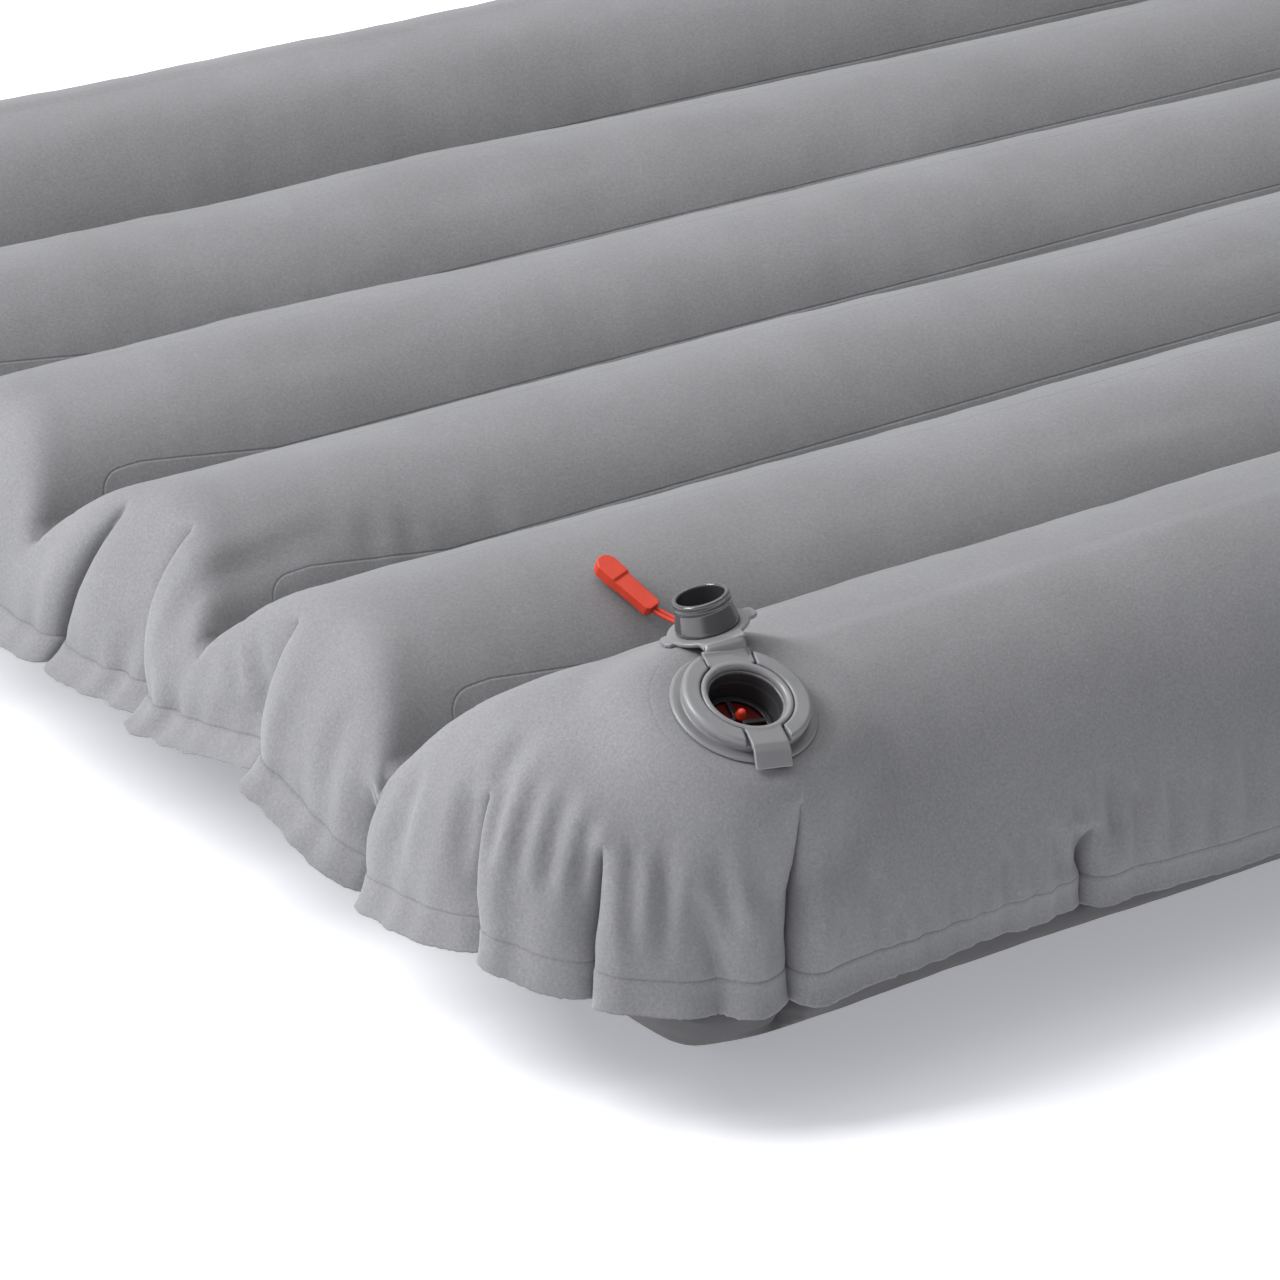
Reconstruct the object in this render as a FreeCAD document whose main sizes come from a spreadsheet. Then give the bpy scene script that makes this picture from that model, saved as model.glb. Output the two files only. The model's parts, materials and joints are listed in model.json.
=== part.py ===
import FreeCAD, Part
import math
import os

import Sketcher

V = FreeCAD.Vector

# An inflatable sleeping pad with six lengthwise tubes. Two coated fabric sheets
# meet in a flat weld margin, five I-beam ribs tie them together along the
# creases, and a two-stage valve sits on the outer tube near one end.
# +X runs from the valve end to the foot, +Y across, +Z up, z = 0 is the ground.

doc = FreeCAD.newDocument("SleepingPad")
sheet = doc.addObject("Spreadsheet::Sheet", "Dims")

NUM = {
    # pad
    "pad_length": 1830.0, "half_width": 302.7, "side_slope": 0.036,
    "thickness": 116.0, "edge_round": 57.0, "corner_round": 80.0,
    "pitch_head": 95.0, "pitch_slope": 0.018, "tube_rad_head": 51.3, "tube_rad_foot": 43.0,
    "skin": 0.6, "margin": 11.0, "rib_web": 0.5, "rib_foot_len": 16.0, "rib_end_gap": 68.0,
    # valve place and tilt
    "valve_from_end": 73.5, "valve_tilt": 24.0, "strap_turn": -11.0,
    # valve base
    "flange_rad": 20.6, "flange_high": 1.2, "socket_rad": 12.65, "socket_out": 14.2,
    "socket_deep": 10.0, "rim_rad": 17.2, "rim_high": 2.5,
    # valve insert
    "throat_rad": 10.15, "throat_low": 9.9, "throat_out": 11.5, "throat_deep": 7.4, "ledge_rad": 8.9, "ledge_z": 6.2,
    "collar_rad": 18.0, "collar_low": 2.7, "channel_z": 3.4, "land_in": 13.1, "land_top": 5.4,
    "neck_cut": 8.2, "tab_cut": 7.0,
    # seal, seat and flap
    "seal_out": 12.6, "seat_out": 9.8, "seat_in": 8.2, "seat_high": 0.95, "spoke_wide": 1.4,
    "boss_rad": 2.3, "boss_hole": 1.15, "flap_rad": 8.3, "flap_thick": 0.7, "stem_rad": 1.05, "nub_rad": 1.65,
    # strap moulding
    "ring_in": 10.9, "ring_out": 12.9, "ring_low": 3.55, "ring_top": 5.3, "tab_wide": 10.8, "neck_wide": 14.0,
    # cap
    "disc_rad": 11.6, "disc_thick": 1.4, "ear_reach": 13.7, "ear_deep": 7.0,
    "plug_base": 9.1, "plug_mouth": 7.95, "plug_wall": 1.3, "plug_high": 9.2, "cap_neck_wide": 12.4,
    # pull
    "grip_long": 18.6, "grip_wide": 6.6, "grip_thick": 3.8, "cord_rad": 0.62,
    # patch
    "patch_in": 13.6, "patch_out": 25.6,
}
for i, (k, val) in enumerate(NUM.items(), start=1):
    sheet.set("A%d" % i, k)
    sheet.set("B%d" % i, "%g" % val)
    sheet.setAlias("B%d" % i, k)
doc.recompute()


class Q:
    """A number that remembers the sheet expression it came from."""

    def __init__(self, val, text):
        self.val, self.text = float(val), text

    @staticmethod
    def of(x):
        return x if isinstance(x, Q) else Q(x, "(%g)" % x)

    def __add__(self, o):
        o = Q.of(o)
        return Q(self.val + o.val, "(%s + %s)" % (self.text, o.text))

    __radd__ = __add__

    def __sub__(self, o):
        o = Q.of(o)
        return Q(self.val - o.val, "(%s - %s)" % (self.text, o.text))

    def __rsub__(self, o):
        return Q.of(o) - self

    def __mul__(self, o):
        o = Q.of(o)
        return Q(self.val * o.val, "(%s * %s)" % (self.text, o.text))

    __rmul__ = __mul__

    def __truediv__(self, o):
        o = Q.of(o)
        return Q(self.val / o.val, "(%s / %s)" % (self.text, o.text))

    def __neg__(self):
        return Q(-self.val, "(-1 * %s)" % self.text)


def d(name):
    return Q(NUM[name], "Dims.%s" % name)


def plane(body, role):
    for f in body.Origin.OriginFeatures:
        if f.Role == role:
            return f
    raise RuntimeError(role)


def new_body(name):
    b = doc.addObject("PartDesign::Body", name)
    b.Label = name
    return b


def sketch(body, name, role, loops, offset=None):
    """Closed polygons on one of the body's own planes, each corner bound to the sheet."""
    s = body.newObject("Sketcher::SketchObject", name)
    s.AttachmentSupport = [(plane(body, role), "")]
    s.MapMode = "FlatFace"
    if offset is not None:
        s.AttachmentOffset = FreeCAD.Placement(V(0, 0, offset.val), FreeCAD.Rotation())
        s.setExpression("AttachmentOffset.Base.z", offset.text)
    for pts in loops:
        pts = [(Q.of(a), Q.of(b)) for a, b in pts]
        first = s.GeometryCount
        n = len(pts)
        for i in range(n):
            (a, b), (c, e) = pts[i], pts[(i + 1) % n]
            s.addGeometry(Part.LineSegment(V(a.val, b.val, 0), V(c.val, e.val, 0)), False)
        for i in range(n):
            s.addConstraint(Sketcher.Constraint("Coincident", first + i, 2, first + (i + 1) % n, 1))
        for i, (a, b) in enumerate(pts):
            g = first + i
            if abs(a.val) < 1e-9:
                s.addConstraint(Sketcher.Constraint("PointOnObject", g, 1, -2))
            else:
                c = s.addConstraint(Sketcher.Constraint("DistanceX", -1, 1, g, 1, a.val))
                s.setExpression("Constraints[%d]" % c, a.text)
            if abs(b.val) < 1e-9:
                s.addConstraint(Sketcher.Constraint("PointOnObject", g, 1, -1))
            else:
                c = s.addConstraint(Sketcher.Constraint("DistanceY", -1, 1, g, 1, b.val))
                s.setExpression("Constraints[%d]" % c, b.text)
    return s


def revolve(body, name, loops):
    s = sketch(body, name + "_profile", "XZ_Plane", loops)
    r = body.newObject("PartDesign::Revolution", name)
    r.Profile = s
    r.ReferenceAxis = (s, ["V_Axis"])
    r.Angle = 360.0
    doc.recompute()
    return r


def pad(body, name, role, loops, length, offset=None, midplane=False, reverse=False):
    s = sketch(body, name + "_profile", role, loops, offset)
    p = body.newObject("PartDesign::Pad", name)
    p.Profile = s
    p.Length = length.val
    p.setExpression("Length", length.text)
    if midplane:
        p.Midplane = True
    if reverse:
        p.Reversed = True
    doc.recompute()
    return p


def pocket(body, name, role, loops, length, offset=None, reverse=False, midplane=False):
    before = body.Shape.Volume
    s = sketch(body, name + "_profile", role, loops, offset)
    p = body.newObject("PartDesign::Pocket", name)
    p.Profile = s
    p.Length = length.val
    p.setExpression("Length", length.text)
    p.Reversed = reverse
    if midplane:
        p.Midplane = True
    doc.recompute()
    if body.Shape.Volume > before - 1.0:
        raise RuntimeError("%s cut nothing" % name)
    return p


nodes = []


def keep(obj, place=None):
    if place is not None:
        obj.Placement = place
    nodes.append(obj)
    return obj


def computed(name, shape):
    """A piece whose shape is worked out from the sheet's numbers."""
    o = doc.addObject("Part::Feature", name)
    o.Label = name
    o.Shape = shape
    nodes.append(o)
    return o


N = NUM
X0 = -N["pad_length"] / 2.0
ZC = N["thickness"] / 2.0
L = N["pad_length"]

# ---------------------------------------------------------------- valve frame
VX = X0 + N["valve_from_end"]
side_y = -(N["half_width"] - N["side_slope"] * N["valve_from_end"]) + N["edge_round"]
T = math.radians(N["valve_tilt"])
valve_origin = V(VX, side_y - N["edge_round"] * math.sin(T), (ZC + 1.0) + N["edge_round"] * math.cos(T))
valve_place = FreeCAD.Placement(valve_origin, FreeCAD.Rotation(V(1, 0, 0), N["valve_tilt"]).multiply(FreeCAD.Rotation(V(0, 0, 1), N["strap_turn"])))


# ---------------------------------------------------------------- pad skins
def outline(off, z):
    """The plan outline of the pad, a tapered rectangle with round corners, grown by off."""
    hw0, hw1 = N["half_width"], N["half_width"] - N["side_slope"] * L
    r = N["corner_round"]
    a = math.atan(N["side_slope"])
    pts = []
    for sx, hw, turn in ((0, hw0, 1), (1, hw1, -1)):
        # centre of the corner circle, tangent to the end line and to the slanting side
        cx = r if sx == 0 else L - r
        side = hw0 - N["side_slope"] * cx
        cy = side - r / math.cos(a)
        pts.append((cx, cy))
    rr = r + off
    n = (math.sin(a), math.cos(a))
    (hx, hy), (fx, fy) = pts
    X = X0

    def P(x, y):
        return V(X + x, y, z)

    def arc(cx, cy, a0, a1):
        am = (a0 + a1) / 2
        return Part.Arc(*[P(cx + rr * math.cos(t), cy + rr * math.sin(t)) for t in (a0, am, a1)]).toShape()

    up = math.pi / 2 - a
    e = []
    e.append(Part.LineSegment(P(hx - rr, -hy), P(hx - rr, hy)).toShape())
    e.append(arc(hx, hy, math.pi, up))
    e.append(Part.LineSegment(P(hx + rr * math.cos(up), hy + rr * math.sin(up)), P(fx + rr * math.cos(up), fy + rr * math.sin(up))).toShape())
    e.append(arc(fx, fy, up, 0))
    e.append(Part.LineSegment(P(fx + rr, fy), P(fx + rr, -fy)).toShape())
    e.append(arc(fx, -fy, 0, -up))
    e.append(Part.LineSegment(P(fx + rr * math.cos(up), -fy - rr * math.sin(up)), P(hx + rr * math.cos(up), -hy - rr * math.sin(up))).toShape())
    e.append(arc(hx, -hy, -up, -math.pi))
    return Part.Wire(e)


def slab(inset):
    """A pillow block: the outline with its upper and lower edges rounded over."""
    t = inset
    base = Part.Face(outline(-t, t)).extrude(V(0, 0, N["thickness"] - 2 * t))
    z0, z1 = t, N["thickness"] - t
    edges = [e for e in base.Edges if abs(e.BoundBox.ZMin - e.BoundBox.ZMax) < 1e-4 and (abs(e.BoundBox.ZMin - z0) < 1e-3 or abs(e.BoundBox.ZMin - z1) < 1e-3)]
    return base.makeFillet(N["edge_round"] - t, edges)


def creases(x):
    p = N["pitch_head"] - N["pitch_slope"] * x
    r = N["tube_rad_head"] + (N["tube_rad_foot"] - N["tube_rad_head"]) * x / L
    rise = math.sqrt(r * r - p * p / 4.0)
    return p, r, rise


def circles(x):
    """Centre and radius of the round of each tube's top, from -Y to +Y."""
    p, r, rise = creases(x)
    hw = N["half_width"] - N["side_slope"] * x
    yo = hw - N["edge_round"]
    ro = math.hypot(yo - 2 * p, rise)
    return [(-yo, ro)] + [(k * p, r) for k in (-1.5, -0.5, 0.5, 1.5)] + [(yo, ro)], p, rise


def scallop(x, t):
    """One cross-section through all the tubes, inset by t."""
    cs, p, rise = circles(x)
    low, wide = 0.0, 420.0
    up, dn = [], []
    ys = []
    for i in range(5):
        (y0, r0), (y1, r1) = cs[i], cs[i + 1]
        r0, r1 = r0 - t, r1 - t
        y = (r0 * r0 - r1 * r1 + y1 * y1 - y0 * y0) / (2 * (y1 - y0))
        ys.append((y, math.sqrt(r0 * r0 - (y - y0) ** 2)))
    X = X0 + x

    def P(y, h):
        return V(X, y, ZC + h)

    e = []
    for s in (1, -1):
        yo, ro = cs[0][0], cs[0][1] - t
        # the outer tubes leave the block at the crown and run on level outside it
        top = s * ro
        seg = []
        y, h = ys[0]
        seg.append(Part.LineSegment(P(-wide, s * ro), P(yo, s * ro)).toShape())
        am = (math.atan2(h, y - yo) + math.pi / 2) / 2
        seg.append(Part.Arc(P(yo, s * ro), P(yo + ro * math.cos(am), s * ro * math.sin(am)), P(y, s * h)).toShape())
        for i in range(1, 5):
            yc, rc = cs[i][0], cs[i][1] - t
            seg.append(Part.Arc(P(ys[i - 1][0], s * ys[i - 1][1]), P(yc, s * rc), P(ys[i][0], s * ys[i][1])).toShape())
        y, h = ys[4]
        yo, ro = cs[5][0], cs[5][1] - t
        am = (math.atan2(h, y - yo) + math.pi / 2) / 2
        seg.append(Part.Arc(P(y, s * h), P(yo + ro * math.cos(am), s * ro * math.sin(am)), P(yo, s * ro)).toShape())
        seg.append(Part.LineSegment(P(yo, s * ro), P(wide, s * ro)).toShape())
        if s == 1:
            e += seg
            e.append(Part.LineSegment(P(wide, ro), P(wide, -ro)).toShape())
        else:
            e += seg[::-1]
            e.append(Part.LineSegment(P(-wide, -ro), P(-wide, ro)).toShape())
    return Part.Wire(Part.__sortEdges__(e))


def bundle(t):
    return Part.makeLoft([scallop(-30.0, t), scallop(L + 30.0, t)], True, True)


outer = slab(0.0).common(bundle(0.0))
inner = slab(N["skin"]).common(bundle(N["skin"]))
shell = outer.cut(inner)
print("shell", shell.isValid(), shell.Volume, len(shell.Solids))

big = 3000.0
upper = Part.makeBox(big, big, 300, V(-big / 2, -big / 2, ZC))
lower = Part.makeBox(big, big, 300, V(-big / 2, -big / 2, ZC - 300))


def margin_ring(z0, h):
    a = Part.Face(outline(N["margin"], z0)).extrude(V(0, 0, h))
    b = Part.Face(outline(-0.3, z0 - 1)).extrude(V(0, 0, h + 2))
    return a.cut(b)


def local_cyl(r, z0, z1):
    c = Part.makeCylinder(r, z1 - z0, V(0, 0, z0), V(0, 0, 1))
    c.Placement = valve_place.multiply(c.Placement)
    return c


top = shell.common(upper).fuse(margin_ring(ZC, N["skin"])).removeSplitter()
bottom = shell.common(lower).fuse(margin_ring(ZC - N["skin"], N["skin"])).removeSplitter()
# the round hole that the valve's socket passes through
top = top.cut(local_cyl(N["socket_out"] + 0.15, -14, 8))


def one(shape):
    s = sorted(shape.Solids, key=lambda q: -q.Volume)
    for extra in s[1:]:
        print("dropped a sliver of", round(extra.Volume, 3))
    return s[0]


computed("top_sheet", one(top))
computed("bottom_sheet", one(bottom))


# ---------------------------------------------------------------- ribs
ENDS = (-30.0, L + 30.0)
SHARE = {}


def rib_points(i, x):
    """The corners of one I-beam section: feet that follow the tubes, and a thin web between."""
    cs, p, rise = circles(x)
    t = N["skin"] + 0.15
    f = t + 0.4
    (y0, r0), (y1, r1) = cs[i], cs[i + 1]
    a0, a1 = r0 - t, r1 - t
    b0, b1 = r0 - f, r1 - f
    y = (a0 * a0 - a1 * a1 + y1 * y1 - y0 * y0) / (2 * (y1 - y0))
    h = math.sqrt(a0 * a0 - (y - y0) ** 2)
    ang0, ang1 = math.atan2(h, y - y0), math.atan2(h, y - y1)
    # the angle that each foot takes, as a share of its tube's arc
    span0 = (math.pi / 2 if i == 0 else math.pi - ang0) - ang0
    span1 = ang1 - (math.pi / 2 if i == 4 else math.pi - ang1)
    if (i, 0) not in SHARE:
        SHARE[(i, 0)], SHARE[(i, 1)] = N["rib_foot_len"] / r0 / span0, N["rib_foot_len"] / r1 / span1
    e0, e1 = ang0 + SHARE[(i, 0)] * span0, ang1 - SHARE[(i, 1)] * span1
    w = N["rib_web"] / 2
    wl = (y - w, math.sqrt(b0 * b0 - (y - w - y0) ** 2))
    wr = (y + w, math.sqrt(b1 * b1 - (y + w - y1) ** 2))
    bl, br = math.atan2(wl[1], wl[0] - y0), math.atan2(wr[1], wr[0] - y1)

    def on(yc, rr, a):
        return (yc + rr * math.cos(a), rr * math.sin(a))

    return [wl, on(y0, b0, (bl + e0) / 2), on(y0, b0, e0), on(y0, a0, e0), on(y0, a0, (e0 + ang0) / 2), (y, h),
            on(y1, a1, (e1 + ang1) / 2), on(y1, a1, e1), on(y1, b1, e1), on(y1, b1, (br + e1) / 2), wr]


def rib_section(i, x):
    """A section on the same straight lines that the skins are lofted along."""
    k = (x - ENDS[0]) / (ENDS[1] - ENDS[0])
    pts = [(a[0] * (1 - k) + b[0] * k, a[1] * (1 - k) + b[1] * k) for a, b in zip(rib_points(i, ENDS[0]), rib_points(i, ENDS[1]))]

    def P(q, s):
        return V(X0 + x, q[0], ZC + s * q[1])

    def arc(j, s):
        return Part.Arc(*[P(q, s) for q in pts[j:j + 3]]).toShape()

    def ln(q0, s0, q1, s1):
        return Part.LineSegment(P(q0, s0), P(q1, s1)).toShape()

    e = []
    for s in (1, -1):
        seg = [arc(0, s), ln(pts[2], s, pts[3], s), arc(3, s), arc(5, s), ln(pts[7], s, pts[8], s), arc(8, s)]
        e += seg if s == 1 else seg[::-1]
        if s == 1:
            e.append(ln(pts[10], 1, pts[10], -1))
        else:
            e.append(ln(pts[0], -1, pts[0], 1))
    return Part.Wire(Part.__sortEdges__(e))


g = N["rib_end_gap"]
for i in range(5):
    rib = Part.makeLoft([rib_section(i, g), rib_section(i, L - g)], True, True)
    if rib.Volume < 0:
        rib.reverse()
    print("rib", i + 1, rib.isValid(), round(rib.Volume), "in the skins", round(rib.common(shell).Volume, 4))
    computed("rib_%d" % (i + 1), rib)

# ---------------------------------------------------------------- valve base
base = new_body("valve_base")
revolve(base, "base_turn", [[
    (d("socket_rad"), -d("socket_deep")), (d("socket_rad"), d("rim_high")), (d("rim_rad") - 0.4, d("rim_high")),
    (d("rim_rad"), d("rim_high") - 0.4), (d("rim_rad"), d("flange_high")), (d("flange_rad") - 0.6, d("flange_high")),
    (d("flange_rad"), d("flange_high") - 0.5), (d("flange_rad"), Q.of(0.15)), (d("socket_out"), Q.of(0.15)),
    (d("socket_out"), -d("socket_deep"))]])
keep(base, valve_place)

# ---------------------------------------------------------------- valve insert
ins = new_body("valve_insert")
revolve(ins, "insert_turn", [[
    (d("ledge_rad"), -d("throat_deep")), (d("ledge_rad"), -d("ledge_z")), (d("throat_low"), -d("ledge_z")),
    (d("throat_low"), Q.of(-0.25)), (d("throat_rad"), Q.of(0)),
    (d("throat_rad"), d("channel_z") - 0.3), (d("throat_rad") + 0.3, d("channel_z")), (d("land_in"), d("channel_z")),
    (d("land_in"), d("land_top") - 0.3), (d("land_in") + 0.3, d("land_top")), (d("collar_rad") - 0.8, d("land_top")),
    (d("collar_rad"), d("land_top") - 0.7), (d("collar_rad"), d("collar_low") + 0.3), (d("collar_rad") - 0.5, d("collar_low")),
    (d("throat_out"), d("collar_low")), (d("throat_out"), -d("throat_deep"))]])
# the strap's channel across the collar, wider at the back than at the front
pocket(ins, "strap_channel", "XY_Plane", [[
    (-d("tab_cut"), -d("collar_rad") - 2), (d("tab_cut"), -d("collar_rad") - 2), (d("tab_cut") - 0.8, Q.of(-12.5)),
    (d("tab_cut") - 0.8, Q.of(-4)), (d("neck_cut") - 0.8, Q.of(4)), (d("neck_cut") - 0.8, Q.of(12)), (d("neck_cut"), d("collar_rad") + 2),
    (-d("neck_cut"), d("collar_rad") + 2), (0.8 - d("neck_cut"), Q.of(12)), (0.8 - d("neck_cut"), Q.of(4)),
    (0.8 - d("tab_cut"), Q.of(-4)), (0.8 - d("tab_cut"), Q.of(-12.5))]],
    Q.of(6.0), offset=d("channel_z"), reverse=True)
keep(ins, valve_place)

# ---------------------------------------------------------------- seal ring
seal = new_body("seal_ring")
revolve(seal, "seal_turn", [[
    (d("throat_out") + 0.03, Q.of(-4.3)), (d("seal_out") - 0.35, Q.of(-4.3)), (d("seal_out"), Q.of(-3.95)),
    (d("seal_out"), Q.of(-3.55)), (d("seal_out") - 0.35, Q.of(-3.2)), (d("throat_out") + 0.03, Q.of(-3.2))]])
keep(seal, valve_place)

# ---------------------------------------------------------------- spoked seat
seat = new_body("check_seat")
zt = 0.95 - d("ledge_z")
revolve(seat, "seat_rim", [[
    (d("seat_in"), 0.05 - d("ledge_z")), (d("seat_out"), 0.05 - d("ledge_z")), (d("seat_out"), zt), (d("seat_in"), zt)]])
for i, (a, b) in enumerate(((d("spoke_wide") / 2, d("seat_in") + 0.5), (d("seat_in") + 0.5, d("spoke_wide") / 2))):
    pad(seat, "spokes_%d" % (i + 1), "XY_Plane", [[(-a, -b), (a, -b), (a, b), (-a, b)]], Q.of(0.9), offset=0.05 - d("ledge_z"))
boss = 0.05 - d("ledge_z")
revolve(seat, "seat_boss", [[(Q.of(0.2), boss), (d("boss_rad"), boss), (d("boss_rad"), zt), (Q.of(0.2), zt)]])
groove_s = sketch(seat, "stem_hole_profile", "XZ_Plane", [[
    (Q.of(0), boss - 1), (d("boss_hole"), boss - 1), (d("boss_hole"), zt + 1), (Q.of(0), zt + 1)]])
before = seat.Shape.Volume
gr = seat.newObject("PartDesign::Groove", "stem_hole")
gr.Profile = groove_s
gr.ReferenceAxis = (groove_s, ["V_Axis"])
gr.Angle = 360.0
doc.recompute()
if seat.Shape.Volume > before - 0.5:
    raise RuntimeError("stem hole cut nothing")
keep(seat, valve_place)

# ---------------------------------------------------------------- red flap
flap = new_body("check_flap")
fz = -0.2 - d("ledge_z")
revolve(flap, "flap_turn", [[
    (Q.of(0), fz - d("flap_thick") - 0.3), (Q.of(2.4), fz - d("flap_thick") - 0.3), (d("flap_rad"), fz - d("flap_thick") + 0.25),
    (d("flap_rad"), fz), (d("stem_rad"), fz), (d("stem_rad"), Q.of(-3.4)), (d("nub_rad"), Q.of(-3.2)), (d("nub_rad"), Q.of(-2.6)),
    (Q.of(1.15), Q.of(-1.05)), (Q.of(0.7), Q.of(-0.55)), (Q.of(0), Q.of(-0.4))]])
keep(flap, valve_place)

# ---------------------------------------------------------------- strap moulding
strap = new_body("strap_ring")
revolve(strap, "ring_turn", [[
    (d("ring_in") - 0.15, d("ring_low")), (d("ring_out"), d("ring_low")), (d("ring_out"), d("ring_top") - 0.4), (d("ring_out") - 0.4, d("ring_top")),
    (d("ring_in") + 0.6, d("ring_top")), (d("ring_in"), d("ring_top") - 0.6)]])
tw = d("tab_wide") / 2
pad(strap, "tab_side", "YZ_Plane", [[
    (-d("ring_in") - 0.8, d("ring_low")), (-d("ring_in") - 0.8, d("ring_top") - 0.15), (Q.of(-17.6), d("ring_top") - 0.2),
    (Q.of(-19.8), Q.of(4.2)), (Q.of(-21.4), Q.of(2.7)), (Q.of(-23.4), Q.of(1.3)), (Q.of(-22.6), Q.of(0.3)),
    (Q.of(-21.3), Q.of(1.35)), (Q.of(-20.2), Q.of(2.3)), (Q.of(-18.6), d("ring_low") + 0.1)]], d("tab_wide"), midplane=True)
nw = d("neck_wide") / 2
pad(strap, "neck_side", "YZ_Plane", [[
    (d("ring_in") + 0.8, d("ring_low")), (Q.of(15.4), d("ring_low") + 0.05), (Q.of(16.9), Q.of(4.4)), (Q.of(17.3), Q.of(5.3)),
    (Q.of(16.3), Q.of(5.7)), (Q.of(15.2), d("ring_top")), (d("ring_in") + 0.8, d("ring_top") - 0.1)]], d("neck_wide"), midplane=True)
keep(strap, valve_place)

# ---------------------------------------------------------------- cap
disc = new_body("cap_disc")
dt = d("disc_thick")
revolve(disc, "disc_turn", [[
    (Q.of(2.6), -dt), (d("disc_rad") - 0.4, -dt), (d("disc_rad"), 0.4 - dt), (d("disc_rad"), Q.of(-0.3)), (d("disc_rad") - 0.3, Q.of(0)), (Q.of(2.6), Q.of(0))]])
er, ed = d("ear_reach"), d("ear_deep") / 2
pad(disc, "ears", "XY_Plane", [[
    (-er + 1.2, -ed), (er - 1.2, -ed), (er, -ed + 1.4), (er, ed - 1.4), (er - 1.2, ed), (-er + 1.2, ed), (-er, ed - 1.4), (-er, -ed + 1.4)]],
    dt - 0.2, offset=0.1 - dt)
cn = d("cap_neck_wide") / 2
pad(disc, "cap_neck", "YZ_Plane", [[
    (Q.of(-9.4), -dt), (Q.of(-9.4), Q.of(-0.1)), (Q.of(-12.2), Q.of(-0.1)), (Q.of(-13.1), Q.of(-0.5)), (Q.of(-13.3), 0.2 - dt), (Q.of(-12.8), -dt)]],
    d("cap_neck_wide"), midplane=True)
hole_s = sketch(disc, "stud_hole_profile", "XZ_Plane", [[(Q.of(0), -dt - 2), (Q.of(3.05), -dt - 2), (Q.of(3.05), Q.of(2)), (Q.of(0), Q.of(2))]])
gh = disc.newObject("PartDesign::Groove", "stud_hole")
gh.Profile = hole_s
gh.ReferenceAxis = (hole_s, ["V_Axis"])
gh.Angle = 360.0
doc.recompute()

plug = new_body("cap_plug")
pb, pm, pw, ph = d("plug_base"), d("plug_mouth"), d("plug_wall"), d("plug_high")
revolve(plug, "plug_turn", [[
    (Q.of(0), -dt - 0.9), (Q.of(4.2), -dt - 0.9), (Q.of(4.4), -dt - 0.05), (Q.of(3.0), -dt - 0.05), (Q.of(3.0), Q.of(0.05)), (pb, Q.of(0.05)),
    (pb, Q.of(0.8)), (pm, ph - 2.9), (pm + 0.28, ph - 2.5), (pm + 0.28, ph - 2.0), (pm, ph - 1.7), (pm, ph - 1.3), (pm + 0.2, ph - 0.9),
    (pm + 0.15, ph - 0.3), (pm - 0.2, ph), (pm - pw + 0.3, ph), (pm - pw, ph - 0.4), (pb - pw - 0.3, Q.of(1.6)), (pb - pw - 1.0, Q.of(1.2)), (Q.of(0), Q.of(1.2))]])

# the cap's closed place and the turn that lays it open
closed = FreeCAD.Placement(V(0, 0, 5.75), FreeCAD.Rotation(V(1, 0, 0), 180.0))
lean = V(-0.277, 0.485, 0.83)
lean.normalize()
p0, p1 = V(0, 0, 5.75), V(1.2, 30.4, 1.0)
nz = V(0, 0, 1)
axis = (nz + lean).cross(p1 - p0)
axis.normalize()
if axis.x < 0:
    axis = axis * -1.0
u0 = (nz * -1.0) - axis * axis.dot(nz * -1.0)
u1 = lean - axis * axis.dot(lean)
turn = math.degrees(math.atan2(axis.dot(u0.cross(u1)), u0.dot(u1)))
if turn > 0:
    turn -= 360.0
# centre of the turn: on the perpendicular bisector of p0 p1 in the plane across the axis
mid = (p0 + p1) * 0.5
half = (p1 - p0) * 0.5
perp = axis.cross(half)
perp.normalize()
centre = mid + perp * (half.Length / math.tan(math.radians(turn) / 2.0))
rot = FreeCAD.Rotation(axis, turn)
test = rot.multVec(p0 - centre) + centre
print("cap turn", round(turn, 3), "miss", (test - p1).Length, "centre", centre, "axis", axis)
opening = FreeCAD.Placement(centre - rot.multVec(centre), rot)
cap_place = valve_place.multiply(opening.multiply(closed))
keep(disc, cap_place)
keep(plug, cap_place)
hc = valve_place.multVec(centre)
ha = valve_place.Rotation.multVec(axis)
print("hinge pos_m", [round(c / 1000, 6) for c in hc], "axis", [round(c, 6) for c in ha], "open angle from closed", round(turn, 4))
vz = valve_place.Rotation.multVec(nz)
print("valve origin", valve_origin, "axis", [round(c, 6) for c in vz])

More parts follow.
